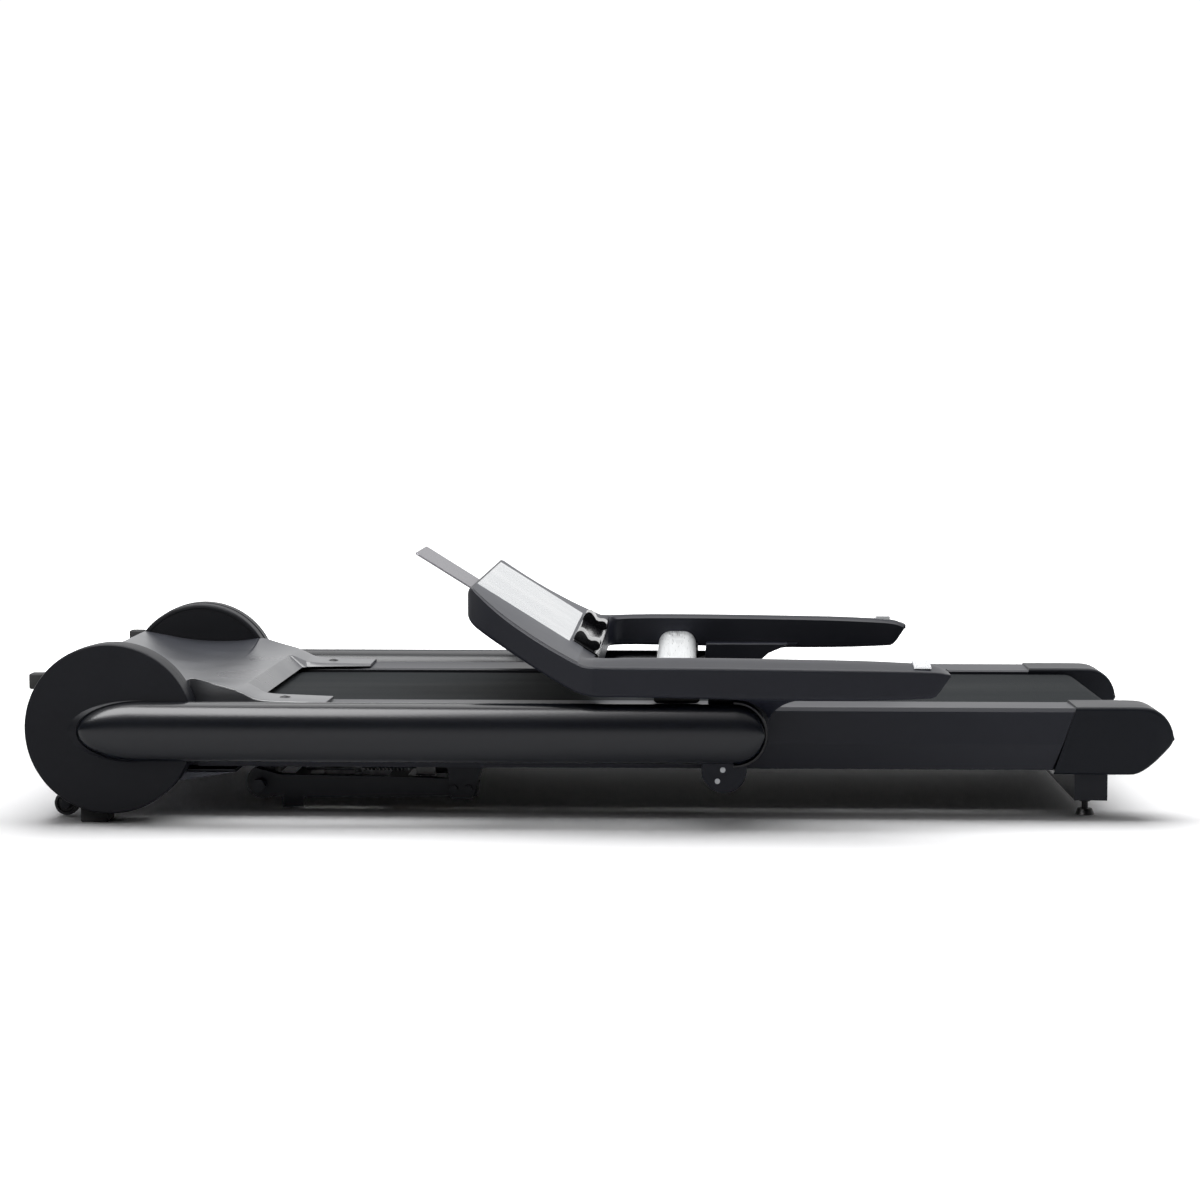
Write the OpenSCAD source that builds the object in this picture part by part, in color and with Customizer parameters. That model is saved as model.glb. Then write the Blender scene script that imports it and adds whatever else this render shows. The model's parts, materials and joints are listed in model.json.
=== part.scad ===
// Folding home treadmill, folded flat: the uprights lie along the deck and the console lies over the belt.
// X runs from the motor end (-X) to the rear end (+X), Y across the deck, Z up from the floor.
// Left is -Y and right is +Y, as a person who runs towards the motor end sees them.

/* [Overall] */
// Length from the front of the drums to the tips of the end caps
overall_len = 1733; // [1450:1:2100]
// Width over the two disc covers
drum_spread = 800; // [670:1:960]

/* [Side drums] */
// Radius of the drums
drum_r = 128; // [107:1:154]
// Height of the drums above the floor
drum_floor_gap = 16; // [14:1:24]
// Thickness of a turning disc cover
cover_t = 28; // [26:1:34]
// Thickness of a fixed hub drum
hub_t = 28; // [26:1:34]
// Running gap between a disc cover and its hub drum
drum_gap = 3; // [2:0.5:5]
// Radius of the pivot shafts of the uprights
pivot_r = 18; // [15:0.5:22]

/* [Side rails] */
// Width of a side rail
rail_w = 98; // [82:1:118]
// Height of the rails' top above the floor
rail_top = 172; // [165:1:185]
// Height of the rails' lower edge above the floor
rail_bottom = 77; // [72:1:84]
// Gap between a side rail and the hub drum's inner face
rail_gap = 17; // [15:1:24]
// Wall of the rail section
rail_wall = 3; // [2:0.5:4]
// Length of an end cap along its top
cap_len = 150; // [125:1:180]
// How far the seam of rail and end cap leans back from top to bottom
seam_lean = 34; // [0:1:40]

/* [Running deck] */
// Gap between the belt's edge and the rail
belt_gap = 6; // [4:0.5:8]
// How far the belt's surface lies below the rails' top
belt_drop = 8; // [6:0.5:10]
// Thickness of the running belt
belt_t = 2.5; // [2:0.1:3]
// Thickness of the deck board
deck_t = 18; // [15:0.5:21.6]
// Radius of the belt rollers
roller_r = 25; // [22:0.5:27]
// Radius of the roller axles
axle_r = 8; // [6:0.5:10]
// Distance from the end caps' tips to the belt's rear edge
belt_setback = 65; // [54:1:78]

/* [Motor bay] */
// Distance from the drum axis to the hood's lip over the belt
hood_reach = 178; // [160:1:214]
// How far the hood's prongs run over the rails past its lip
prong_len = 139; // [116:1:167]
// Thickness of the hood's skin
hood_wall = 4; // [3:0.5:5]
// Radius of the drive motor
motor_r = 46; // [40:1:52]
// Length of the drive motor
motor_len = 190; // [160:1:228]
// Radius of the motor pulley
motor_pulley_r = 16; // [13:0.5:19]
// Radius of the front roller's pulley
roller_pulley_r = 40; // [34:0.5:44]
// Width of the ribbed drive belt
drive_belt_w = 14; // [11:1:16]

/* [Uprights] */
// Distance from the drum axis to the console pivot
upright_reach = 938; // [790:1:1126]
// Height of the tube section
tube_h = 90; // [75:1:108]
// Width of the tube section
tube_w = 50; // [46:1:60]
// Wall of the tube
tube_wall = 3; // [2:0.5:4]
// How far the tube's middle lies below the drum axis
tube_drop = 3; // [0:0.5:6]
// Radius of the console pivot pins
pin_r = 10; // [8:0.5:12]

/* [Console] */
// Slope of the console's face in degrees
console_tilt = 32; // [26:1:38]
// Length of the console's face along the slope
console_len = 211; // [190:1:250]
// Thickness of the console
console_t = 47; // [40:1:56]
// Half width of the console at its upper edge
console_half = 325; // [270:1:350]
// Width of the display
display_w = 500; // [416:1:560]
// Length of the display along the slope
display_len = 168; // [140:1:180]
// Width of the tablet holder's plate
holder_w = 170; // [140:1:204]
// How far the tablet holder stands out of the console
holder_out = 112; // [93:1:134]
// Thickness of the tablet holder's plate
holder_t = 3; // [2:0.5:4]

/* [Handrails] */
// Distance from the console pivot to the handrail's tip
rail_tip = 316; // [263:1:380]
// Distance from the console pivot to the bend where the console's face starts
bend_back = 219; // [200:1:240]
// Height of the handrail's underside above the console pivot
grip_low = 58; // [55:1:66]
// Thickness of the handrail
grip_t = 50; // [42:1:60]
// Width of a handrail
grip_w = 70; // [60:1:84]
// Radius of the round ear below the console pivot
ear_r = 34; // [29:1:38]
// Width of the cross bar between the handrails
bar_w = 66; // [55:1:79]
// Height of the cross bar
bar_h = 44; // [37:1:50]

/* [Feet and wheels] */
// Radius of the transport wheels
wheel_r = 19; // [16:0.5:22]
// Height of the rear cross beam above the floor
beam_low = 30; // [25:1:36]
// Width of the rear cross beam
beam_w = 50; // [42:1:60]
// Radius of a levelling foot
foot_r = 15; // [12.5:0.5:18]

/* [Lift] */
// Distance from the drum axis to the lift frame's pivot
lift_pivot_x = 530; // [480:1:560]
// Length of the lift frame from its pivot to the roller axle
lift_len = 324; // [280:1:340]
// How far the lift frame's arms reach under the side tubes
lift_overlap = 20; // [16:1:24]
// Radius of the lift rollers
lift_roller_r = 26; // [22:0.5:30]

/* [Hidden] */

$fn = 48;
// Clearances: turning pins, loose pieces of one body, pieces that move past each other
run_gap = 0.05;
fit_gap = 0.3;
move_gap = 1;
// Extra length of a tool that cuts right through
through = 5;

half_spread = drum_spread / 2;
cover_in = half_spread - cover_t;
hub_out = cover_in - drum_gap;
hub_in = hub_out - hub_t;
rail_out = hub_in - rail_gap;
rail_in = rail_out - rail_w;
belt_half = rail_in - belt_gap;
fold_x = -overall_len / 2 + drum_r;
fold_z = drum_r + drum_floor_gap;
tail_x = overall_len / 2;

belt_top = rail_top - belt_drop;
deck_top = belt_top - belt_t - fit_gap;
deck_low = deck_top - deck_t;
roller_z = belt_top - belt_t - roller_r;
rear_roller_x = tail_x - belt_setback - belt_t - roller_r;
front_roller_x = fold_x + hood_reach - 33;
seam_x = tail_x - cap_len;
lip_x = fold_x + hood_reach;
prong_x = lip_x + prong_len;

// Main side tubes inside the rails
side_tube_w = rail_w - 38;
side_tube_out = rail_out - 24;
side_tube_in = side_tube_out - side_tube_w;
side_tube_low = rail_bottom - 1;
side_tube_top = deck_low + 7;
side_tube_x0 = fold_x - drum_r + 36;
side_tube_x1 = rear_roller_x + 22;
hub_plate_t = 12;
hood_rise = 78;
hood_dip = 15;

tube_z = fold_z - tube_drop;
tube_mid = half_spread;
tube_in = tube_mid - tube_w / 2;
pin_x = fold_x + upright_reach;
grip_out = tube_mid + grip_w / 2;
grip_in = grip_out - grip_w;
lobe_in = rail_out + 6;
lobe_out = tube_in - 3;
grip_high = grip_low + grip_t;
bend_high = grip_high - 6;

module on_side(s) {
    mirror([0, s < 0 ? 1 : 0, 0]) children();
}

module both_sides() {
    on_side(-1) children();
    on_side(1) children();
}

// A cylinder that lies along Y from y0 to y1, round the point x, z
module cross_cylinder(x, z, y0, y1, r) {
    translate([x, y1, z]) rotate([90, 0, 0]) cylinder(h = y1 - y0, r = r);
}

// An outline drawn in X and Z, carried along Y from y0 to y1
module side_slab(y0, y1) {
    translate([0, y1, 0]) rotate([90, 0, 0]) linear_extrude(height = y1 - y0) children();
}

// An outline drawn in Y and Z, carried along X from x0 to x1
module along_x(x0, x1) {
    translate([x0, 0, 0]) rotate([90, 0, 90]) linear_extrude(height = x1 - x0) children();
}

// A block between two corners
module block(low, high) {
    translate(low) cube(high - low);
}

// A hexagon bolt head that lies along Y, its washer face at y0
module hex_head(x, z, y0, r, t) {
    translate([x, y0 + t, z]) rotate([90, 0, 0]) cylinder(h = t, r = r, $fn = 6);
}

// An arc of points round a centre, from angle a0 to a1 in degrees
function arc(cx, cy, r, a0, a1, n) =
    [for (i = [0 : n]) [cx + r * cos(a0 + (a1 - a0) * i / n), cy + r * sin(a0 + (a1 - a0) * i / n)]];

// Main frame

module side_tubes() {
    color("#1c1e26") both_sides() difference() {
        block([side_tube_x0, side_tube_in, side_tube_low], [side_tube_x1, side_tube_out, side_tube_top]);
        block(
            [side_tube_x0 - through, side_tube_in + 3, side_tube_low + 3],
            [side_tube_x1 + through, side_tube_out - 3, side_tube_top - 3]
        );
        // Slots for the two axles, which drop in from above
        for (x = [front_roller_x, rear_roller_x]) block(
            [x - axle_r - fit_gap, side_tube_in - through, roller_z - axle_r - fit_gap],
            [x + axle_r + fit_gap, side_tube_in + 20, side_tube_top + through]
        );
    }
}

module roller_axles() {
    color("#8f9195") for (x = [front_roller_x, rear_roller_x]) {
        cross_cylinder(x, roller_z, -side_tube_in - 15, side_tube_in + 15, axle_r);
    }
}

cross_depth = 40;
cross_high = deck_low - 10;
cross_low = cross_high - 20;
cross_first = front_roller_x + roller_r + 60;
cross_last = seam_x - seam_lean - cross_depth;
cross_count = 4;

function cross_x(i) = cross_first + (cross_last - cross_first) * i / (cross_count - 1);

module cross_members() {
    color("#1c1e26") for (i = [0 : cross_count - 1]) difference() {
        block(
            [cross_x(i) - cross_depth / 2, -side_tube_in, cross_low],
            [cross_x(i) + cross_depth / 2, side_tube_in, cross_high]
        );
        block(
            [cross_x(i) - cross_depth / 2 + 2, -side_tube_in - through, cross_low + 2],
            [cross_x(i) + cross_depth / 2 - 2, side_tube_in + through, cross_high - 2]
        );
    }
}

// Upright plates that carry the pivot shafts outside the side tubes
module hub_plates() {
    plate_r = hood_rise - hood_dip - hood_wall - 6;
    color("#1c1e26") both_sides() difference() {
        union() {
            cross_cylinder(fold_x, fold_z, rail_out, rail_out + hub_plate_t, plate_r);
            block(
                [fold_x - plate_r, side_tube_out, side_tube_low],
                [fold_x + plate_r, rail_out + hub_plate_t, side_tube_low + 34]
            );
        }
        cross_cylinder(fold_x, fold_z, rail_out - through, rail_out + hub_plate_t + through, pivot_r);
    }
}

bay_x0 = fold_x - drum_r + 28;
tray_z = rail_bottom - 7;

module motor_tray() {
    color("#2a2c33") difference() {
        block([bay_x0 + 6, -side_tube_out, tray_z - 3], [front_roller_x + 28, side_tube_out, tray_z]);
        for (x = [bay_x0 + 40, front_roller_x - 20], y = [-150, 150]) {
            translate([x, y, tray_z - 3 - through]) cylinder(h = 3 + 2 * through, r = 9);
        }
    }
}

module pivot_shafts() {
    color("#9a9ca0") both_sides() cross_cylinder(fold_x, fold_z, rail_out, cover_in - move_gap, pivot_r);
}

// Side drums and motor bay

module hub_drum(s) {
    color("#23262e") on_side(s) difference() {
        cross_cylinder(fold_x, fold_z, hub_in, hub_out, drum_r - 1);
        cross_cylinder(fold_x, fold_z, hub_in + 4, hub_out + through, drum_r - 6);
        cross_cylinder(fold_x, fold_z, hub_in - through, hub_out, pivot_r);
        // Shallow recess that leaves a rim round the inner face
        cross_cylinder(fold_x, fold_z, hub_in - through, hub_in + 1.5, drum_r * 0.94);
    }
}

hood_low = rail_top + fit_gap;
hood_crest = fold_z + hood_rise;
crest_x = fold_x - drum_r + 28;
shoulder_x = fold_x + 115;
prong_high = rail_top + 6.5;

// Side view of the hood's outer surface
function hood_line(inset) = [
    [crest_x - 14 + inset, hood_crest - 24],
    [crest_x - 9 + inset, hood_crest - 8 - inset],
    [crest_x + inset, hood_crest - inset],
    [crest_x + 60, hood_crest - 11 - inset],
    [fold_x, hood_crest - hood_dip - inset],
    [shoulder_x, hood_crest - 12 - inset],
    [lip_x - 10, rail_top + 22 - inset],
    [lip_x + 34, prong_high + 3 - inset],
    [prong_x + 4, prong_high - inset]
];

// Plan of the hood: full width between the drums, then the rails' width, then two prongs
hood_plan = [
    [crest_x - 20, -hub_in + fit_gap],
    [shoulder_x, -hub_in + fit_gap],
    [shoulder_x, -rail_out],
    [prong_x - 6, -rail_out],
    [prong_x + 2, -rail_in],
    [lip_x + 28, -rail_in],
    [lip_x, -rail_in + 16],
    [lip_x, rail_in - 16],
    [lip_x + 28, rail_in],
    [prong_x + 2, rail_in],
    [prong_x - 6, rail_out],
    [shoulder_x, rail_out],
    [shoulder_x, hub_in - fit_gap],
    [crest_x - 20, hub_in - fit_gap]
];

screw_x = fold_x + 247;
screw_y = (rail_in + rail_out) / 2;

module hood_solid(inset, low) {
    side_slab(-half_spread, half_spread) polygon(concat(
        hood_line(inset),
        [[prong_x + 4, low], [crest_x - 14 + inset, low]]
    ));
}

module motor_hood() {
    color("#2b2e36") difference() {
        intersection() {
            hood_solid(0, hood_low);
            translate([0, 0, tray_z]) linear_extrude(height = drum_r * 2) polygon(hood_plan);
        }
        // Hollow between the drums and over the belt's front end
        intersection() {
            hood_solid(hood_wall, hood_low - through);
            block(
                [crest_x - 40, -hub_in + hood_wall, tray_z],
                [shoulder_x - hood_wall, hub_in - hood_wall, drum_r * 3]
            );
        }
        intersection() {
            hood_solid(hood_wall, hood_low - through);
            block(
                [shoulder_x - through * 2, -rail_out + hood_wall, tray_z],
                [lip_x - hood_wall, rail_out - hood_wall, drum_r * 3]
            );
        }
        both_sides() {
            translate([screw_x, screw_y, hood_low - through]) cylinder(h = 40, r = 6);
            cross_cylinder(fold_x, fold_z, rail_out - 2, hub_in, pivot_r + run_gap);
        }
    }
}

module hood_screws() {
    color("#16171c") both_sides() translate([screw_x, screw_y, rail_top]) difference() {
        cylinder(h = 7, r = 5.5);
        translate([0, 0, 4]) cylinder(h = 10, r = 2.6, $fn = 6);
    }
}

pan_low = rail_bottom - 25;

module belly_pan() {
    pan_line = [
        [crest_x - 8, tray_z - 4],
        [crest_x + 20, pan_low],
        [shoulder_x - 25, pan_low],
        [shoulder_x + 60, tray_z - 4]
    ];
    color("#4a4d55") difference() {
        side_slab(-side_tube_out, side_tube_out) polygon(pan_line);
        translate([0, 0, 3]) side_slab(-side_tube_out + 3, side_tube_out - 3) polygon(pan_line);
        for (i = [0 : 5]) {
            block(
                [fold_x - 30 + i * 16, -60, pan_low - through],
                [fold_x - 22 + i * 16, 60, pan_low + through]
            );
        }
    }
}

panel_x = crest_x - 14;
inlet_y = 120;
inlet_z = tray_z + 34;
switch_y = 180;

module front_panel() {
    color("#17181d") difference() {
        block([panel_x, -hub_in + fit_gap, tray_z], [panel_x + 4, hub_in - fit_gap, hood_low - fit_gap]);
        block(
            [panel_x - through, inlet_y - 14, inlet_z - 10],
            [panel_x + 4 + through, inlet_y + 14, inlet_z + 10]
        );
        block(
            [panel_x - through, switch_y - 11, inlet_z - 15],
            [panel_x + 4 + through, switch_y + 11, inlet_z + 15]
        );
    }
}

// Mains inlet with its three blades in a recess
module power_inlet() {
    color("#0e0f12") difference() {
        union() {
            block([panel_x - 2, inlet_y - 18, inlet_z - 14], [panel_x, inlet_y + 18, inlet_z + 14]);
            block([panel_x, inlet_y - 13.7, inlet_z - 9.7], [panel_x + 26, inlet_y + 13.7, inlet_z + 9.7]);
        }
        block(
            [panel_x - 2 - through, inlet_y - 12, inlet_z - 8],
            [panel_x + 16, inlet_y + 12, inlet_z + 8]
        );
    }
    color("#b08d4c") for (i = [-1 : 1]) {
        block(
            [panel_x + 4, inlet_y + i * 7 - 1, inlet_z - (i == 0 ? -1 : 4)],
            [panel_x + 16, inlet_y + i * 7 + 1, inlet_z + (i == 0 ? 5 : 0)]
        );
    }
}

switch_r = 14;

// Rocker switch: a cylinder segment that tips about Y
module power_switch() {
    color("#b3221f") intersection() {
        cross_cylinder(panel_x + 8, inlet_z, switch_y - 9, switch_y + 9, switch_r);
        block([panel_x - 8, switch_y - 9, inlet_z - 13.5], [panel_x + 14, switch_y + 9, inlet_z + 13.5]);
    }
}

// Side rails and end caps

knee_z = rail_bottom + 40;

function rail_outline() = [
    [rail_in, rail_top - 14],
    [rail_in, rail_top - 4],
    [rail_in + 4, rail_top - 1.5],
    [rail_out - 6, rail_top],
    [rail_out, rail_top - 6],
    [rail_out, knee_z],
    [rail_out - 8, rail_bottom],
    [side_tube_out - 8, rail_bottom - 2]
];

function rail_hollow() = [
    [rail_in - 1, rail_top - 15],
    [rail_in + rail_wall, rail_top - 15],
    [rail_in + rail_wall, rail_top - 6],
    [rail_out - 8, rail_top - rail_wall - 1],
    [rail_out - rail_wall, rail_top - 8],
    [rail_out - rail_wall, knee_z],
    [rail_out - 8 - rail_wall, rail_bottom + rail_wall],
    [side_tube_out + fit_gap, rail_bottom + rail_wall],
    [side_tube_out + fit_gap, rail_bottom - 10],
    [rail_in - 1, rail_bottom - 10]
];

// Side view of everything in front of the seam between rail and end cap
module before_seam(x0, gap) {
    side_slab(-half_spread, half_spread) polygon([
        [x0, rail_bottom - 20],
        [seam_x - seam_lean - gap, rail_bottom - 20],
        [seam_x - seam_lean - gap, rail_bottom],
        [seam_x - gap, rail_top],
        [seam_x - gap, rail_top + 20],
        [x0, rail_top + 20]
    ]);
}

module side_rail(s) {
    color("#262932") on_side(s) difference() {
        intersection() {
            along_x(shoulder_x + 4, seam_x) polygon(rail_outline());
            before_seam(shoulder_x, 0);
        }
        along_x(shoulder_x - through, seam_x + through) polygon(rail_hollow());
        // Room for the pulley under the hood
        block(
            [shoulder_x - through, rail_in - 1, rail_bottom],
            [lip_x + 20, side_tube_in, rail_top + through]
        );
    }
}

nose_z = rail_top - 48;

// Side view of an end cap
function cap_line() = concat(
    [
        [seam_x - seam_lean - 1, rail_bottom - 2],
        [seam_x - 1, rail_top + 2],
        [tail_x - 54, rail_top + 2]
    ],
    [for (i = [1 : 6]) [tail_x - 54 + 50 * sin(i * 13), rail_top + 2 - 44 * (1 - cos(i * 13)) ]],
    [
        [tail_x, nose_z + 4],
        [tail_x - 1, nose_z - 5],
        [tail_x - 54, rail_bottom - 7]
    ]
);

cap_wall = 4;

module end_cap(s) {
    color("#1f222b") on_side(s) difference() {
        intersection() {
            side_slab(rail_in, rail_out) polygon(cap_line());
            along_x(seam_x - 60, tail_x + 10) polygon([
                [rail_in, rail_bottom - 10],
                [rail_in, rail_top - 2],
                [rail_in + 4, rail_top + 2],
                [rail_out - 5, rail_top + 2],
                [rail_out, rail_top - 4],
                [rail_out, knee_z - 2],
                [rail_out - 8, rail_bottom - 10]
            ]);
            translate([0, 0, rail_bottom - 20]) linear_extrude(height = 200) polygon([
                [seam_x - 60, rail_in - 1],
                [tail_x - 40, rail_in - 1],
                [tail_x, rail_in + 20],
                [tail_x, rail_out - 22],
                [tail_x - 46, rail_out + 1],
                [seam_x - 60, rail_out + 1]
            ]);
        }
        before_seam(seam_x - 100, -fit_gap);
        // Open towards the rail and downwards, round the side tube
        block(
            [seam_x - 60, rail_in + 3, rail_bottom - 20],
            [side_tube_x1 + 18, rail_out - 8 - cap_wall, rail_top - 4]
        );
        // The thin inner wall stops above the rear beam and has a slot for the roller's axle
        block(
            [seam_x - 60, rail_in - 1, rail_bottom - 20],
            [side_tube_x1 + 4, rail_out - 8 - cap_wall, side_tube_low + 4]
        );
        block(
            [rear_roller_x - axle_r - 1, rail_in - 1, rail_bottom - 20],
            [rear_roller_x + axle_r + 1, side_tube_in, roller_z + axle_r + 1]
        );
    }
}

// Running deck

module deck_board() {
    color("#3b3027") block(
        [lip_x - 8, -belt_half + 2, deck_low],
        [rear_roller_x - roller_r - 12, belt_half - 2, deck_top]
    );
}

module deck_cushions() {
    color("#15151a") for (i = [0 : cross_count - 1], s = [-1, 1]) {
        translate([cross_x(i), s * (belt_half - 40), cross_high]) {
            cylinder(h = deck_low - cross_high, r = 16);
        }
    }
}

// The belt runs round both rollers a hair outside their surfaces
module belt_outline(grow) {
    r = roller_r + fit_gap / 2 + grow;
    union() {
        translate([front_roller_x, roller_z]) circle(r = r);
        translate([rear_roller_x, roller_z]) circle(r = r);
        translate([front_roller_x, roller_z - r]) square([rear_roller_x - front_roller_x, 2 * r]);
    }
}

module running_belt() {
    color("#2d2f33") side_slab(-belt_half, belt_half) difference() {
        belt_outline(belt_t);
        belt_outline(0);
    }
}

pulley_out = side_tube_in - 2;
pulley_in = belt_half + 1.5;
pulley_y = (pulley_in + pulley_out) / 2;

module front_roller() {
    color("#7d8086") difference() {
        union() {
            cross_cylinder(front_roller_x, roller_z, -belt_half, pulley_out, roller_r);
            cross_cylinder(front_roller_x, roller_z, pulley_in, pulley_out, roller_pulley_r);
        }
        cross_cylinder(
            front_roller_x, roller_z, -belt_half - through, pulley_out + through, axle_r + run_gap
        );
    }
}

module rear_roller() {
    color("#7d8086") difference() {
        cross_cylinder(rear_roller_x, roller_z, -belt_half, belt_half, roller_r);
        cross_cylinder(
            rear_roller_x, roller_z, -belt_half - through, belt_half + through, axle_r + run_gap
        );
    }
}

module belt_tension_bolts() {
    color("#8f9195") both_sides() translate([side_tube_x1 + fit_gap, side_tube_in + 12, roller_z]) {
        difference() {
            rotate([0, 90, 0]) cylinder(h = 10, r = 6, $fn = 6);
            translate([5, 0, 0]) rotate([0, 90, 0]) cylinder(h = 20, r = 2.5);
        }
    }
}

// Drive

motor_x = fold_x - 5;
motor_z = tray_z + motor_r + 8;
motor_y1 = pulley_in - 40;
motor_y0 = motor_y1 - motor_len;
shaft_r = 7;
drive_gap = 0.3;
drive_t = 3;

module drive_motor() {
    color("#3a3c42") difference() {
        union() {
            cross_cylinder(motor_x, motor_z, motor_y0, motor_y1, motor_r);
            cross_cylinder(motor_x, motor_z, motor_y1, motor_y1 + 10, motor_r * 0.55);
            block(
                [motor_x - 22, motor_y0 + 50, motor_z],
                [motor_x + 22, motor_y0 + 110, motor_z + motor_r + 12]
            );
        }
        cross_cylinder(motor_x, motor_z, motor_y0 - through, motor_y1 + 10 + through, shaft_r + run_gap);
    }
}

module motor_rotor() {
    color("#8c8f94") union() {
        cross_cylinder(motor_x, motor_z, motor_y0 - 40, pulley_out, shaft_r);
        cross_cylinder(motor_x, motor_z, motor_y0 - 36, motor_y0 - 8, motor_r - 3);
        cross_cylinder(motor_x, motor_z, pulley_in, pulley_out, motor_pulley_r);
    }
}

// Two cradle feet under the motor, cut to its round body
module motor_bracket() {
    color("#2a2c33") for (y = [motor_y0 + 20, motor_y1 - 40]) difference() {
        block([motor_x - motor_r * 0.8, y, tray_z], [motor_x + motor_r * 0.8, y + 20, motor_z - 8]);
        cross_cylinder(motor_x, motor_z, y - through, y + 20 + through, motor_r);
    }
}

// Outline of a belt round two pulleys that stand d apart
function belt_loop(r1, r2, d) = concat(
    arc(0, 0, r1, 90 + asin((r2 - r1) / d), 270 - asin((r2 - r1) / d), 24),
    arc(d, 0, r2, -90 - asin((r2 - r1) / d), 90 + asin((r2 - r1) / d), 32)
);

module drive_belt() {
    dx = front_roller_x - motor_x;
    dz = roller_z - motor_z;
    d = sqrt(dx * dx + dz * dz);
    color("#141519") translate([motor_x, pulley_y + drive_belt_w / 2, motor_z]) rotate([90, 0, 0]) {
        linear_extrude(height = drive_belt_w) rotate(atan2(dz, dx)) difference() {
            polygon(belt_loop(
                motor_pulley_r + drive_gap + drive_t,
                roller_pulley_r + drive_gap + drive_t,
                d
            ));
            polygon(belt_loop(motor_pulley_r + drive_gap, roller_pulley_r + drive_gap, d));
        }
    }
}

// Motor controller: a finned heat sink under its circuit board
module motor_controller() {
    x0 = motor_x - 50;
    y0 = -side_tube_in + 10;
    y1 = motor_y0 - 52;
    color("#7b7f86") {
        block([x0, y0, tray_z], [x0 + 110, y1, tray_z + 6]);
        for (i = [0 : 8]) block([x0 + 4 + i * 12, y0, tray_z + 6], [x0 + 7 + i * 12, y1, tray_z + 30]);
    }
    color("#1f5a3a") block([x0, y0, tray_z + 30], [x0 + 110, y1, tray_z + 32]);
    color("#15151a") for (i = [0 : 2]) {
        translate([x0 + 25 + i * 30, (y0 + y1) / 2, tray_z + 32]) cylinder(h = 28, r = 11);
    }
}

// Rear beam, feet and wheels

beam_x = seam_x - seam_lean + 34 + beam_w / 2;

module rear_beam() {
    beam_y = rail_out - 13;
    color("#3a3d45") difference() {
        block([beam_x - beam_w / 2, -beam_y, beam_low], [beam_x + beam_w / 2, beam_y, side_tube_low]);
        block(
            [beam_x - beam_w / 2 + 3, -beam_y + 3, beam_low - through],
            [beam_x + beam_w / 2 - 3, beam_y - 3, side_tube_low - 3]
        );
        both_sides() translate([beam_x, foot_y, side_tube_low - 3 - through]) {
            cylinder(h = 3 + 2 * through, r = 5);
        }
    }
}

foot_y = rail_out - 72;

module levelling_feet() {
    color("#17181c") both_sides() translate([beam_x, foot_y, 0]) {
        cylinder(h = 9, r1 = foot_r, r2 = foot_r * 0.75);
        cylinder(h = side_tube_low, r = 5);
        translate([0, 0, 20]) cylinder(h = 8, r = 9, $fn = 6);
    }
}

pad_x = fold_x - 28;
pad_l = 42;
pad_y = hub_in + 21;
pad_w = 38;

// Rubber pads that the motor end stands on, hung from the hub drums' plates
module front_feet() {
    color("#15161a") both_sides() difference() {
        block(
            [pad_x - pad_l / 2, rail_out + hub_plate_t + fit_gap, 0],
            [pad_x + pad_l / 2, pad_y + pad_w / 2, drum_floor_gap + 40]
        );
        cross_cylinder(fold_x, fold_z, hub_in - fit_gap, half_spread, drum_r + fit_gap);
    }
}

// Small stops on the hub drums' upper front

module front_bumpers() {
    color("#17181c") both_sides() difference() {
        block([fold_x - drum_r, hub_in + 1, fold_z + 56], [fold_x - drum_r + 26, hub_out - 2, fold_z + 80]);
        cross_cylinder(fold_x, fold_z, hub_in, half_spread, drum_r - 1);
    }
}

wheel_x = fold_x - 82;
wheel_z = wheel_r + 2;
wheel_t = 20;
wheel_y0 = hub_in - 8 - wheel_t;
wheel_bolt_r = 4;

module wheel_brackets() {
    color("#22242b") both_sides() {
        difference() {
            union() {
                side_slab(wheel_y0 - 5, wheel_y0 - 1) polygon([
                    [wheel_x - 10, wheel_z - 8],
                    [wheel_x + 12, wheel_z - 8],
                    [wheel_x + 44, tray_z - 3],
                    [wheel_x - 6, tray_z - 3]
                ]);
                cross_cylinder(wheel_x, wheel_z, wheel_y0 - 9, wheel_y0 + wheel_t + 6, wheel_bolt_r);
                hex_head(wheel_x, wheel_z, wheel_y0 + wheel_t + 1, 8, 5);
            }
        }
    }
}

module wheel(s) {
    color("#2a2b30") on_side(s) difference() {
        union() {
            cross_cylinder(wheel_x, wheel_z, wheel_y0, wheel_y0 + wheel_t, wheel_r - 1.5);
            cross_cylinder(wheel_x, wheel_z, wheel_y0 + 3, wheel_y0 + wheel_t - 3, wheel_r);
        }
        cross_cylinder(
            wheel_x, wheel_z, wheel_y0 - through, wheel_y0 + wheel_t + through, wheel_bolt_r + run_gap
        );
    }
}

// Lift

lift_x = fold_x + lift_pivot_x;
lift_z = 37.5;
lift_axle_x = lift_x - lift_len;
lift_axle_z = 42;
lift_out = side_tube_in + lift_overlap;
lift_bar_w = 20;
lift_pin_r = 8;
lift_axle_r = 8;
bracket_out = lift_out + 14;

// Plates that hang from the side tubes and hold the lift frame's two pivot pins
module lift_brackets() {
    color("#1b1d24") both_sides() {
        side_slab(lift_out + 1, bracket_out) polygon([
            [lift_x - 33, side_tube_low],
            [lift_x - 26, lift_z - 16],
            [lift_x + 6, lift_z - 16],
            [lift_x + 24, side_tube_low]
        ]);
        cross_cylinder(lift_x, lift_z, lift_out - lift_bar_w - 6, lift_out + 1, lift_pin_r);
        cross_cylinder(lift_x - 23, lift_z, bracket_out, bracket_out + 5, 6);
        cross_cylinder(lift_x, lift_z, bracket_out, bracket_out + 5, 6);
    }
}

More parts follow.
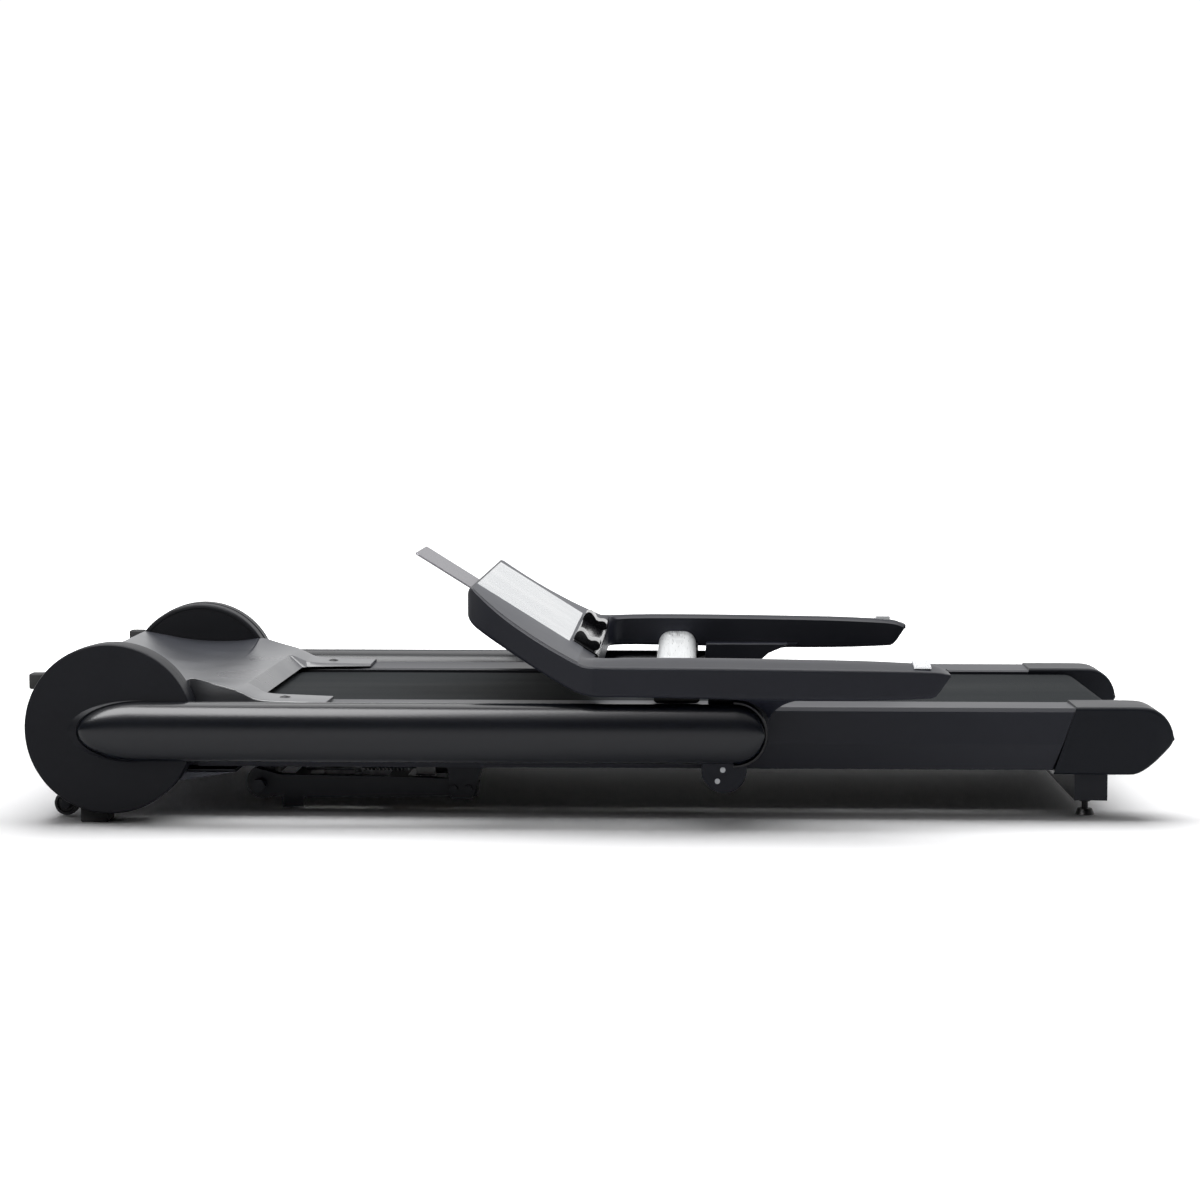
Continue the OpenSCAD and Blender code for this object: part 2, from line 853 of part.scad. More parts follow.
module lift_frame() {
    bar_low = lift_axle_z - 21;
    color("#20222a") difference() {
        union() {
            both_sides() {
                side_slab(lift_out - lift_bar_w, lift_out) polygon([
                    [lift_x + 15, lift_z + 8],
                    [lift_x + 12, lift_z - 13],
                    [lift_axle_x + 66, bar_low],
                    [lift_axle_x - 10, bar_low + 4],
                    [lift_axle_x - 18, lift_axle_z + 8],
                    [lift_axle_x - 8, lift_axle_z + 24],
                    [lift_axle_x + 30, lift_axle_z + 14],
                    [lift_x - 60, lift_axle_z + 10]
                ]);
                // Rubber stop under the arm
                block(
                    [lift_axle_x + 34, lift_out - lift_bar_w, 6],
                    [lift_axle_x + 66, lift_out, bar_low + 3]
                );
            }
            block(
                [lift_x - 130, -lift_out + lift_bar_w, bar_low + 2],
                [lift_x - 100, lift_out - lift_bar_w, bar_low + 28]
            );
            block(
                [lift_axle_x + 40, -lift_out + lift_bar_w, bar_low + 2],
                [lift_axle_x + 62, lift_out - lift_bar_w, bar_low + 24]
            );
            cross_cylinder(lift_axle_x, lift_axle_z, -lift_out - 22, lift_out + 22, lift_axle_r);
            both_sides() hex_head(lift_axle_x, lift_axle_z, lift_out + 22, 11, 7);
        }
        cross_cylinder(lift_x, lift_z, -lift_out - through, lift_out + through, lift_pin_r + run_gap);
    }
}

module lift_rollers() {
    color("#26272c") both_sides() difference() {
        cross_cylinder(
            lift_axle_x, lift_axle_z, lift_out - lift_bar_w - 32, lift_out - lift_bar_w - 2, lift_roller_r
        );
        cross_cylinder(
            lift_axle_x, lift_axle_z, lift_out - lift_bar_w - 40, lift_out, lift_axle_r + run_gap
        );
    }
}

screw_axis_z = 64;
screw_axis_y = -lift_out + 52;
lift_motor_x = lift_x - 85;

// Lift motor, gearbox and the guide tube with its rear part round the screw
module lift_motor() {
    color("#6d7076") translate([0, screw_axis_y, screw_axis_z]) rotate([0, 90, 0]) {
        translate([0, 0, lift_motor_x]) difference() {
            union() {
                translate([-11, -24, 0]) cube([side_tube_low - screw_axis_z + 11, 48, 30]);
                translate([0, 0, 30]) cylinder(h = 70, r = 12);
            }
            translate([0, 0, -through]) cylinder(h = 60, r = 5 + run_gap);
        }
    }
}

module lift_screw() {
    color("#b9bcc0") translate([0, screw_axis_y, screw_axis_z]) rotate([0, 90, 0]) {
        translate([0, 0, lift_axle_x + 65]) cylinder(h = lift_motor_x - lift_axle_x + 50 - 65, r = 5);
        translate([0, 0, lift_axle_x + 65]) cylinder(h = 76, r = 8);
        translate([0, 0, lift_axle_x + 141]) cylinder(h = 10, r = 11);
        for (i = [0 : 11]) {
            translate([0, 0, lift_axle_x + 156 + i * 6]) cylinder(h = 3, r = 8);
        }
    }
}

// Uprights

tube_end_r = tube_h / 2;
seam_reach = 47;
seam_r = seam_reach + 50;

// Side view of an upright tube: a long rounded nose over the drum, a round end past the console pivot
module tube_side(grow) {
    union() {
        polygon(concat(
            [for (a = [90 : 10 : 270]) [
                fold_x + 50 + (seam_r + grow) * cos(a),
                tube_z + (tube_end_r + grow) * sin(a)
            ]],
            [[pin_x, tube_z - tube_end_r - grow], [pin_x, tube_z + tube_end_r + grow]]
        ));
        translate([pin_x, tube_z]) circle(r = tube_end_r + grow);
    }
}

// Cross-section of an upright tube in Y and Z
module tube_section(inset) {
    r = tube_w / 2 - inset;
    flat = tube_h / 2 - tube_w / 2;
    translate([tube_mid, tube_z]) union() {
        translate([0, flat]) circle(r = r);
        translate([0, -flat]) circle(r = r);
        translate([-r, -flat]) square([2 * r, 2 * flat]);
    }
}

cap_depth = 34;

module upright_tube(s) {
    color("#20232c") on_side(s) difference() {
        intersection() {
            along_x(fold_x - seam_reach - 1, pin_x) tube_section(0);
            side_slab(tube_in - 1, half_spread + tube_w) tube_side(0);
        }
        along_x(fold_x + drum_r, pin_x + through) tube_section(tube_wall);
        cross_cylinder(pin_x, tube_z, tube_in - through, half_spread + tube_w, pin_r);
    }
}

// Plastic end caps with a plug inside the tube and a bore for the pivot pin
module tube_end_caps() {
    color("#17191f") both_sides() difference() {
        union() {
            intersection() {
                along_x(pin_x + fit_gap, pin_x + tube_end_r + 1) tube_section(0);
                side_slab(tube_in - 1, half_spread + tube_w) tube_side(0);
            }
            along_x(pin_x - cap_depth, pin_x + fit_gap) tube_section(tube_wall + fit_gap);
        }
        cross_cylinder(pin_x, tube_z, tube_in - through, half_spread + tube_w, pin_r);
    }
}

// A cover turns with its upright, which lies in a pocket across the cover's outer face
module disc_cover(s) {
    color("#1a1d25") on_side(s) difference() {
        translate([fold_x, half_spread, fold_z]) rotate([90, 0, 0]) rotate_extrude() polygon([
            [0, 0],
            [drum_r - 3, 0],
            [drum_r, 3],
            [drum_r, cover_t],
            [0, cover_t]
        ]);
        side_slab(tube_in - 0.2, half_spread + through) tube_side(0.4);
        // Hollow behind the outer skin, round the hub
        difference() {
            cross_cylinder(fold_x, fold_z, cover_in - through, half_spread - 5, drum_r - 5);
            cross_cylinder(fold_x, fold_z, cover_in - through * 2, half_spread, drum_r * 0.5);
            side_slab(cover_in - through * 2, half_spread + through) tube_side(3);
        }
    }
}

// Steel hubs that turn on the pivot shafts, inside the fixed drums
module pivot_hubs() {
    color("#8a8d92") both_sides() difference() {
        union() {
            cross_cylinder(fold_x, fold_z, hub_out - 14, cover_in, drum_r * 0.46);
            cross_cylinder(fold_x, fold_z, hub_in + 5, hub_out - 14, pivot_r + 9);
        }
        cross_cylinder(fold_x, fold_z, hub_in - through, cover_in + through, pivot_r + run_gap);
    }
}

// Pins through the console's lobes, held in the uprights' end caps
module console_pins() {
    color("#8a8d92") both_sides() union() {
        cross_cylinder(pin_x, tube_z, lobe_in - 2, half_spread + tube_w / 2 - tube_wall - 2, pin_r);
        cross_cylinder(pin_x, tube_z, lobe_in - 4, lobe_in - 1, pin_r + 5);
    }
}

// Console

bend_x = pin_x - bend_back;
tip_x = pin_x + rail_tip;
low_z = tube_z + grip_low;
high_z = tube_z + grip_high;
bend_z = tube_z + bend_high;

// The console's own slanted frame: -X runs up the slope from the bend, +Z stands off its face
module on_slope() {
    translate([bend_x, 0, bend_z]) rotate([0, console_tilt, 0]) children();
}

// Half width of the console at a share t of the way down its slope
function half_at(t) = console_half + (grip_out - console_half) * pow(t, 0.7);

steps = 6;
corner = 14;
throat = 14;

// Plan of the console along its slope, drawn a little smaller where inset is more than 0
module slope_plan(inset) {
    right = [for (i = [0 : steps]) [
        -console_len + (i == 0 ? corner : console_len * i / steps),
        half_at(i == 0 ? corner / console_len : i / steps) - inset
    ]];
    left = [for (i = [steps : -1 : 0]) [right[i][0], -right[i][1]]];
    polygon(concat(
        [[-console_len + inset, console_half - corner - inset]],
        right,
        [[0, grip_in], [throat - inset, grip_in - 40], [throat - inset, 40 - grip_in], [0, -grip_in]],
        left,
        [[-console_len + inset, -console_half + corner + inset]]
    ));
}

bezel_t = 8;
shell_wall = 4;
slot_low = 30;

module console_shell() {
    color("#262931") on_slope() difference() {
        translate([0, 0, -console_t]) linear_extrude(height = console_t - bezel_t) slope_plan(0);
        translate([0, 0, shell_wall - console_t]) linear_extrude(height = console_t) intersection() {
            slope_plan(shell_wall);
            translate([-console_len, -half_spread]) square([console_len - 3, 2 * half_spread]);
        }
        block(
            [-console_len - through, -holder_w / 2 - 1, -slot_low - 1],
            [-console_len + 2 * shell_wall + through, holder_w / 2 + 1, -slot_low + holder_t + 1]
        );
    }
}

display_low = 40;

module console_bezel() {
    color("#33363e") on_slope() difference() {
        translate([0, 0, -bezel_t + fit_gap]) linear_extrude(height = bezel_t - fit_gap) slope_plan(0);
        block(
            [-display_low - display_len - fit_gap, -display_w / 2 - fit_gap, -bezel_t - through],
            [-display_low + fit_gap, display_w / 2 + fit_gap, through]
        );
        block(
            [-display_low + 4, -ledge_w / 2 - fit_gap, -3],
            [throat + through, ledge_w / 2 + fit_gap, through]
        );
    }
}

module display_panel() {
    color("#d8dadd") on_slope() {
        block(
            [-display_low - display_len, -display_w / 2, -bezel_t + fit_gap],
            [-display_low, display_w / 2, 1]
        );
    }
}

module console_board() {
    color("#1f5a3a") on_slope() {
        block(
            [-display_low - display_len + 10, -display_w * 0.42, -bezel_t - 12],
            [-display_low - 8, display_w * 0.42, -bezel_t - 10]
        );
        for (y = [-display_w * 0.3 : display_w * 0.15 : display_w * 0.3]) {
            block([-display_low - 90, y - 12, -bezel_t - 10], [-display_low - 66, y + 12, -bezel_t - 6]);
        }
    }
}

ledge_w = 440;
stop_w = 60;
stop_y = 170;
stop_h = 16;

// Gloss ledge under the display with two rolled stops that a tablet leans on
module ledge() {
    color("#0c0d10") on_slope() union() {
        block([-display_low + 4.5, -ledge_w / 2, -2.7], [throat - 2, ledge_w / 2, 2]);
        for (y = [-stop_y, stop_y]) {
            side_slab(y - stop_w / 2, y + stop_w / 2) union() {
                translate([-22, stop_h - 7]) circle(r = 9);
                translate([2, stop_h - 6]) circle(r = 8);
                polygon([
                    [-31, 1],
                    [-31, stop_h - 7],
                    [-22, stop_h + 2],
                    [2, stop_h + 2],
                    [10, stop_h - 6],
                    [8, 1]
                ]);
            }
        }
    }
}

module tablet_holder() {
    color("#55585f") on_slope() union() {
        block(
            [-console_len - holder_out, -holder_w / 2, -slot_low],
            [-console_len + 26, holder_w / 2, -slot_low + holder_t]
        );
        block(
            [-console_len + 12, -holder_w / 2 + 10, -slot_low + holder_t],
            [-console_len + 22, holder_w / 2 - 10, -slot_low + holder_t + 6]
        );
    }
}

// Handrails

module grip_side() {
    polygon([
        [bend_x, bend_z],
        [bend_x - console_t * sin(console_tilt), bend_z - console_t * cos(console_tilt)],
        [bend_x - 2, low_z],
        [tip_x - 27, low_z],
        [tip_x, high_z - 16],
        [tip_x - 12, high_z],
        [bend_x + 20, high_z]
    ]);
}

module grip_section() {
    polygon([
        [grip_in + 5, low_z - 3],
        [grip_in, low_z + 4],
        [grip_in, high_z - 6],
        [grip_in + 4, high_z],
        [grip_in + 28, high_z],
        [grip_out - 6, high_z - 7],
        [grip_out, high_z - 13],
        [grip_out, low_z + 6],
        [grip_out - 4, low_z - 3]
    ]);
}

// The lobe drops from the handrail, inside the upright, to the pivot and the round ear below it
ear_x = pin_x - 15;
ear_z = tube_z - 59;

module lobe_side() {
    polygon([
        [pin_x - 56, low_z + 12],
        [pin_x - 50, low_z - 4],
        [ear_x - ear_r, tube_z - 20],
        [ear_x - ear_r, ear_z],
        [ear_x + ear_r, ear_z],
        [pin_x + 48, tube_z - 24],
        [pin_x + 50, tube_z + 22],
        [pin_x + 66, tube_z + 43],
        [pin_x + 96, low_z - 3],
        [pin_x + 110, low_z + 12]
    ]);
    translate([ear_x, ear_z]) circle(r = ear_r);
}

module handrail(s) {
    color("#262931") on_side(s) difference() {
        union() {
            intersection() {
                along_x(bend_x - console_t, tip_x) grip_section();
                side_slab(grip_in - 1, grip_out + 1) grip_side();
            }
            side_slab(lobe_in, lobe_out) lobe_side();
        }
        cross_cylinder(pin_x, tube_z, lobe_in - through, lobe_out + through, pin_r + run_gap);
        ear_holes(2.5);
        key_pocket(fit_gap);
    }
}

module ear_holes(r) {
    cross_cylinder(ear_x - 2, ear_z + 1, lobe_in + 8, lobe_out + through, r);
    cross_cylinder(ear_x - 10, ear_z - 16, lobe_in + 8, lobe_out + through, r);
}

module ear_bolts() {
    color("#8f9195") both_sides() {
        for (p = [[-2, 1], [-10, -16]]) {
            cross_cylinder(ear_x + p[0], ear_z + p[1], lobe_in + 12, lobe_out, 2.5);
            cross_cylinder(ear_x + p[0], ear_z + p[1], lobe_out, lobe_out + 1.5, 4);
        }
    }
}

module cross_bar() {
    bar_x = pin_x - 89;
    bar_z = tube_z + 61;
    color("#b9bcc0") side_slab(-grip_in, grip_in) difference() {
        union() {
            for (d = [-1, 1]) translate([bar_x + d * (bar_w - bar_h) / 2, bar_z]) circle(r = bar_h / 2);
            translate([bar_x - (bar_w - bar_h) / 2, bar_z - bar_h / 2]) square([bar_w - bar_h, bar_h]);
        }
        for (d = [-1, 1]) translate([bar_x + d * (bar_w - bar_h) / 2, bar_z]) circle(r = bar_h / 2 - 3);
        translate([bar_x - (bar_w - bar_h) / 2, bar_z - bar_h / 2 + 3]) square([bar_w - bar_h, bar_h - 6]);
    }
}

key_x = tip_x - 40;
key_l = 25;
key_h = 7;

module key_pocket(gap) {
    block(
        [key_x - key_l / 2 - gap, grip_in + 10 - gap, high_z - key_h - 4],
        [key_x + key_l / 2 + gap, grip_out - 12 + gap, high_z + through]
    );
}

// A key in the top of each handrail, pressed down against its spring
module grip_key(s) {
    color("#c9ccd0") on_side(s) intersection() {
        block(
            [key_x - key_l / 2, grip_in + 10, high_z - key_h],
            [key_x + key_l / 2, grip_out - 12, high_z + 1.2]
        );
        along_x(key_x - key_l, key_x + key_l) polygon([
            [grip_in, high_z - key_h - 1],
            [grip_in, high_z + 1],
            [grip_in + 28, high_z + 1],
            [grip_out - 6, high_z - 6],
            [grip_out, high_z - 12],
            [grip_out, high_z - key_h - 8]
        ]);
    }
}

side_tubes();
roller_axles();
cross_members();
hub_plates();
motor_tray();
hub_drum(-1);  // hub_drum_left
hub_drum(1);  // hub_drum_right
pivot_shafts();
motor_hood();
hood_screws();
belly_pan();
front_panel();
power_inlet();
power_switch();
side_rail(-1);  // side_rail_left
side_rail(1);  // side_rail_right
end_cap(-1);  // end_cap_left
end_cap(1);  // end_cap_right
deck_board();
deck_cushions();
running_belt();
front_roller();
rear_roller();
belt_tension_bolts();
drive_motor();
motor_rotor();
motor_bracket();
drive_belt();
motor_controller();
rear_beam();
levelling_feet();
front_feet();
front_bumpers();
wheel_brackets();
wheel(-1);  // wheel_left
wheel(1);  // wheel_right
lift_brackets();
lift_frame();
lift_rollers();
lift_motor();
lift_screw();
upright_tube(-1);  // upright_tube_left
upright_tube(1);  // upright_tube_right
tube_end_caps();
disc_cover(-1);  // disc_cover_left
disc_cover(1);  // disc_cover_right
pivot_hubs();
console_pins();
handrail(-1);  // handrail_left
handrail(1);  // handrail_right
ear_bolts();
console_shell();
console_bezel();
display_panel();
console_board();
ledge();
tablet_holder();
cross_bar();
grip_key(-1);  // speed_key
grip_key(1);  // incline_key
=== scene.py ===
"""Looks of a folding home treadmill, folded flat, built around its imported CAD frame.

X runs from the motor end to the rear end, Y across the deck, Z up from the floor, in metres.
"""

import json
import math

import bmesh
import bpy
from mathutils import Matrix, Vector


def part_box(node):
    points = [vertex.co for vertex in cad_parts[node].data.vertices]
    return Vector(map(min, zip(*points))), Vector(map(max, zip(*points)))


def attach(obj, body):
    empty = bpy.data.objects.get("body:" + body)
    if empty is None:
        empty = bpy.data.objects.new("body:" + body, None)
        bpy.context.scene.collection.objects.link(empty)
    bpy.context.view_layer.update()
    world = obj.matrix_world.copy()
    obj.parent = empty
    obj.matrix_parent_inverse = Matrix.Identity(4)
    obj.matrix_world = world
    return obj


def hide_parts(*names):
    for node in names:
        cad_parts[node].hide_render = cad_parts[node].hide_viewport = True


bl_info = {
    "name": "Folding treadmill",
    "version": (1, 0, 0),
    "blender": (4, 5, 0),
    "location": "View3D > Sidebar > Treadmill",
    "description": "Builds the visible surfaces of a folding treadmill around its CAD frame",
    "category": "Object",
}

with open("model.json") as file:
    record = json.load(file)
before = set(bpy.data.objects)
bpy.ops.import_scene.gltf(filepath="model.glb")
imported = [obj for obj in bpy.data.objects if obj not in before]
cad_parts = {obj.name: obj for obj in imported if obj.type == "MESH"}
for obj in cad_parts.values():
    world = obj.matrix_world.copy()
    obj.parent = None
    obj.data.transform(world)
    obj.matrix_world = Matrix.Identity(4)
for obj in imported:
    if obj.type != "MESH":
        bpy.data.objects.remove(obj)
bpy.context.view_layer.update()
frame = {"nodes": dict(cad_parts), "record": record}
MM = 0.001


def middle(node):
    """Centre of a CAD node's box."""
    low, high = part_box(node)
    return (low + high) / 2


FOLD = middle("hub_drum_left")
DRUM_R = (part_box("disc_cover_left")[1].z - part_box("disc_cover_left")[0].z) / 2
COVER_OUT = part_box("disc_cover_right")[1].y
COVER_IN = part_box("disc_cover_right")[0].y
HUB_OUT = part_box("hub_drum_right")[1].y
HUB_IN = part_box("hub_drum_right")[0].y
TUBE_LOW, TUBE_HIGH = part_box("upright_tube_right")
TUBE_Z = (TUBE_LOW.z + TUBE_HIGH.z) / 2
TUBE_H = (TUBE_HIGH.z - TUBE_LOW.z) / 2
TUBE_W = (TUBE_HIGH.y - TUBE_LOW.y) / 2
PIN_X = middle("console_pins").x
RAIL_LOW, RAIL_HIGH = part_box("side_rail_right")
GRIP_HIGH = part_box("handrail_right")[1]
DISPLAY_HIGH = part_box("display_panel")[1]
SLOPE = math.radians(32)


def srgb(red, green, blue):
    """A colour given in 8-bit sRGB as a linear one."""
    def linear(value):
        value /= 255
        return value / 12.92 if value <= 0.04045 else ((value + 0.055) / 1.055) ** 2.4
    return (linear(red), linear(green), linear(blue))


def shade(name, text, red, green, blue):
    """A colour property with its default in 8-bit sRGB."""
    return bpy.props.FloatVectorProperty(
        name=name, description=text, subtype="COLOR", min=0, max=1, default=srgb(red, green, blue)
    )


def length(name, text, value):
    """A length property with its default in metres."""
    return bpy.props.FloatProperty(name=name, description=text, unit="LENGTH", min=0, default=value)


class TreadmillColours(bpy.types.PropertyGroup):
    """Colours of the finishes."""

    drum: shade("Drums", "Satin plastic of the side drums and their covers", 9, 11, 18)
    tube: shade("Uprights", "Paint of the upright tubes", 10, 13, 20)
    rail: shade("Rails", "Paint of the side rails", 20, 22, 31)
    cap: shade("End caps", "Plastic of the end caps", 13, 16, 23)
    # The hood is dark plastic, its colour lightened to paint in its reflection of the bright backdrop.
    hood: shade("Hood", "Plastic of the motor hood", 40, 42, 49)
    console: shade("Console", "Plastic of the console and handrails", 20, 22, 31)
    # The bezel is coloured lighter than the console plastic: painted light on the console's top face.
    bezel: shade("Bezel", "Satin skin round the display", 44, 46, 53)
    # The display's pale colour is partly the film under the glass and partly a painted reflection of the
    # white backdrop.
    display: shade("Display", "Film under the display's glass", 132, 136, 140)
    frame: shade("Frame", "Powder coat of the steel frame", 18, 20, 27)
    belt: shade("Belt", "Running belt", 25, 28, 30)
    black: shade("Black plastic", "Small black mouldings", 16, 17, 20)
    bar: shade("Cross bar", "Brushed aluminium", 200, 202, 203)
    steel: shade("Steel", "Zinc-plated steel", 150, 152, 155)
    plate: shade("Tablet plate", "Anodised tablet holder", 112, 111, 115)
    wood: shade("Deck", "Phenolic-faced board", 70, 58, 50)


class TreadmillSizes(bpy.types.PropertyGroup):
    """Sizes of the shaped pieces."""

    rim: length("Drum rim", "Bevel round the drums and their covers", 0.003)
    nose: length("Tube nose", "Length over which an upright's front end narrows", 0.097)
    lip: length("Nose lip", "Width of the raised lip in front of an upright's nose", 0.014)
    trim: length("End trim", "Thickness of the band round an upright's end", 0.0045)
    weave: length("Belt weave", "Width of one diamond of the belt's weave", 0.006)


def colours():
    """The scene's colours."""
    return bpy.context.scene.treadmill_colours


def sizes():
    """The scene's sizes."""
    return bpy.context.scene.treadmill_sizes


# Finishes


class Finish:
    """A procedural material under construction: a Principled shader and its node tree."""

    def __init__(self, name, colour, rough, metal=0.0, specular=0.5, coat=0.0):
        self.material = bpy.data.materials.new(name + "_finish")
        self.material.use_nodes = True
        self.tree = self.material.node_tree
        self.shader = self.tree.nodes["Principled BSDF"]
        self.colour = colour
        self.put("Base Color", (*colour, 1))
        self.put("Roughness", rough)
        self.put("Metallic", metal)
        self.put("Specular IOR Level", specular)
        self.put("Coat Weight", coat)
        self.place = self.add("ShaderNodeTexCoord").outputs["Object"]
        self.bumps = []

    def put(self, socket, value):
        self.shader.inputs[socket].default_value = value

    def add(self, kind, **values):
        node = self.tree.nodes.new(kind)
        for key, value in values.items():
            if key in node.inputs:
                node.inputs[key].default_value = value
            else:
                setattr(node, key, value)
        return node

    def join(self, out, into):
        self.tree.links.new(out, into)

    def stretched(self, scale):
        """Object coordinates drawn out by a scale on each axis."""
        mapping = self.add("ShaderNodeMapping")
        mapping.inputs["Scale"].default_value = scale
        self.join(self.place, mapping.inputs["Vector"])
        return mapping.outputs["Vector"]

    def noise(self, scale, detail=3.0, along=None):
        node = self.add("ShaderNodeTexNoise")
        node.inputs["Scale"].default_value = scale
        node.inputs["Detail"].default_value = detail
        self.join(along or self.place, node.inputs["Vector"])
        return node.outputs["Fac"]

    def span(self, value, low, high, start=0.3, end=0.7):
        """A value from start to end spread from low to high."""
        node = self.add("ShaderNodeMapRange")
        for key, number in (("From Min", start), ("From Max", end), ("To Min", low), ("To Max", high)):
            node.inputs[key].default_value = number
        self.join(value, node.inputs["Value"])
        return node.outputs["Result"]

    def mottle(self, value, spread):
        """Varies the colour round its middle by a spread, dark to light."""
        ramp = self.add("ShaderNodeValToRGB")
        for stop, factor, at in zip(ramp.color_ramp.elements, (1 - spread, 1 + spread), (0.3, 0.7)):
            stop.position = at
            stop.color = (*(min(1, c * factor) for c in self.colour), 1)
        self.join(value, ramp.inputs["Fac"])
        self.join(ramp.outputs["Color"], self.shader.inputs["Base Color"])
        return ramp

    def roughness(self, value, low, high):
        self.join(self.span(value, low, high), self.shader.inputs["Roughness"])

    def bump(self, value, distance, strength=1.0):
        """Adds one more layer of relief."""
        node = self.add("ShaderNodeBump")
        node.inputs["Strength"].default_value = strength
        node.inputs["Distance"].default_value = distance
        self.join(value, node.inputs["Height"])
        if self.bumps:
            self.join(self.bumps[-1], node.inputs["Normal"])
        self.bumps.append(node.outputs["Normal"])
        self.join(node.outputs["Normal"], self.shader.inputs["Normal"])
        return self


def moulded(name, colour, rough, grain=0.00004, specular=0.5):
    """Moulded plastic: fine spark-eroded grain and a faint change of sheen."""
    finish = Finish(name, colour, rough, specular=specular)
    cloud = finish.noise(7, 4)
    finish.mottle(cloud, 0.1)
    finish.roughness(cloud, rough - 0.04, rough + 0.05)
    finish.bump(finish.noise(1900, 2), grain, 0.5)
    return finish.material


def painted(name, colour, rough, peel=0.00002, specular=0.5):
    """Powder coat: orange peel over steel or aluminium, a little thin along the length."""
    finish = Finish(name, colour, rough, specular=specular)
    cloud = finish.noise(5, 4, finish.stretched((0.3, 1, 1)))
    finish.mottle(cloud, 0.08)
    finish.roughness(cloud, rough - 0.03, rough + 0.05)
    finish.bump(finish.noise(420, 2), peel, 0.6)
    return finish.material


def brushed(name, colour, rough, along, depth=0.00001):
    """Metal with fine lines that run along one axis."""
    finish = Finish(name, colour, rough, metal=1.0)
    lines = finish.noise(900, 3, finish.stretched(along))
    finish.mottle(lines, 0.07)
    finish.roughness(lines, rough - 0.08, rough + 0.12)
    finish.bump(lines, depth, 0.5)
    return finish.material


def belt_weave(name, colour, width):
    """Rubber with the small raised diamonds of a running belt."""
    finish = Finish(name, colour, 0.8, specular=0.06)
    bands = []
    for turn in (45, -45):
        mapping = finish.add("ShaderNodeMapping")
        mapping.inputs["Rotation"].default_value = (0, 0, math.radians(turn))
        finish.join(finish.place, mapping.inputs["Vector"])
        wave = finish.add("ShaderNodeTexWave", wave_type="BANDS", bands_direction="X", wave_profile="SIN")
        wave.inputs["Scale"].default_value = math.pi / (10 * width)
        finish.join(mapping.outputs["Vector"], wave.inputs["Vector"])
        bands.append(wave.outputs["Fac"])
    product = finish.add("ShaderNodeMath", operation="MULTIPLY")
    for band, socket in zip(bands, product.inputs):
        finish.join(band, socket)
    diamonds = product.outputs["Value"]
    worn = finish.noise(3, 5, finish.stretched((0.4, 2.5, 1)))
    finish.mottle(worn, 0.14)
    finish.roughness(worn, 0.68, 0.85)
    finish.bump(diamonds, 0.0004, 0.7)
    finish.bump(finish.noise(1500, 2), 0.00006, 0.6)
    return finish.material


def board(name, colour):
    """Phenolic-faced board with a faint grain along its length."""
    finish = Finish(name, colour, 0.45)
    grain = finish.noise(40, 5, finish.stretched((0.08, 1, 1)))
    finish.mottle(grain, 0.25)
    finish.roughness(grain, 0.38, 0.55)
    finish.bump(grain, 0.0001, 0.4)
    return finish.material


def screen(name, colour):
    """Display window: a pale film behind clear gloss, cloudy with fingerprints. The film's pale colour is
    partly a painted reflection of the white backdrop on the glass.
    """
    finish = Finish(name, colour, 0.22, specular=0.5, coat=0.6)
    finish.put("Coat Roughness", 0.05)
    haze = finish.noise(9, 5)
    finish.mottle(haze, 0.05)
    finish.roughness(haze, 0.16, 0.3)
    finish.bump(finish.noise(1200, 2), 0.00001, 0.3)
    return finish.material


def finishes():
    """The finish of each of the record's material slots."""
    c = colours()
    return {
        "frame_paint": painted("frame_paint", c.frame, 0.45, specular=0.18),
        "rail_paint": painted("rail_paint", c.rail, 0.36, 0.000012, 0.2),
        "tube_paint": painted("tube_paint", c.tube, 0.24, 0.00001, 0.3),
        "motor_paint": painted("motor_paint", c.black, 0.38),
        "drum_plastic": moulded("drum_plastic", c.drum, 0.42, 0.00003, 0.13),
        # Hood: dark plastic lightened past its own colour, a painted reflection of the bright backdrop.
        "hood_plastic": moulded("hood_plastic", c.hood, 0.3, 0.00003, 1.0),
        "cap_plastic": moulded("cap_plastic", c.cap, 0.38, 0.00003, 0.13),
        "console_plastic": moulded("console_plastic", c.console, 0.4, 0.00003, 0.18),
        # Bezel: the console's plastic in a lighter colour, painted light on the top face.
        "bezel_plastic": moulded("bezel_plastic", c.bezel, 0.5, 0.00003, 0.3),
        "black_plastic": moulded("black_plastic", c.black, 0.45, 0.00003, 0.3),
        "gloss_black": moulded("gloss_black", srgb(12, 12, 15), 0.14, 0.000004),
        "pan_plastic": moulded("pan_plastic", srgb(78, 81, 90), 0.5),
        "red_plastic": moulded("red_plastic", srgb(168, 34, 30), 0.3, 0.00001),
        "circuit": moulded("circuit", srgb(30, 92, 58), 0.35),
        "rubber": moulded("rubber", srgb(24, 24, 26), 0.68, 0.00008, 0.3),
        "belt_rubber": belt_weave("belt_rubber", c.belt, sizes().weave),
        # Display: pale base colour that partly paints the glass's reflection of the white backdrop.
        "display_glass": screen("display_glass", c.display),
        "holder_plate": brushed("holder_plate", c.plate, 0.42, (0.03, 1, 1)),
        "aluminium": brushed("aluminium", c.bar, 0.34, (1, 0.03, 1)),
        "key_metal": brushed("key_metal", srgb(205, 206, 208), 0.3, (1, 0.03, 1)),
        "steel": brushed("steel", c.steel, 0.34, (1, 1, 1)),
        "deck_wood": board("deck_wood", c.wood),
    }


# Shapes


def verts_of(made):
    """The vertices among the geometry that an operator made."""
    return [item for item in made["geom"] if isinstance(item, bmesh.types.BMVert)]


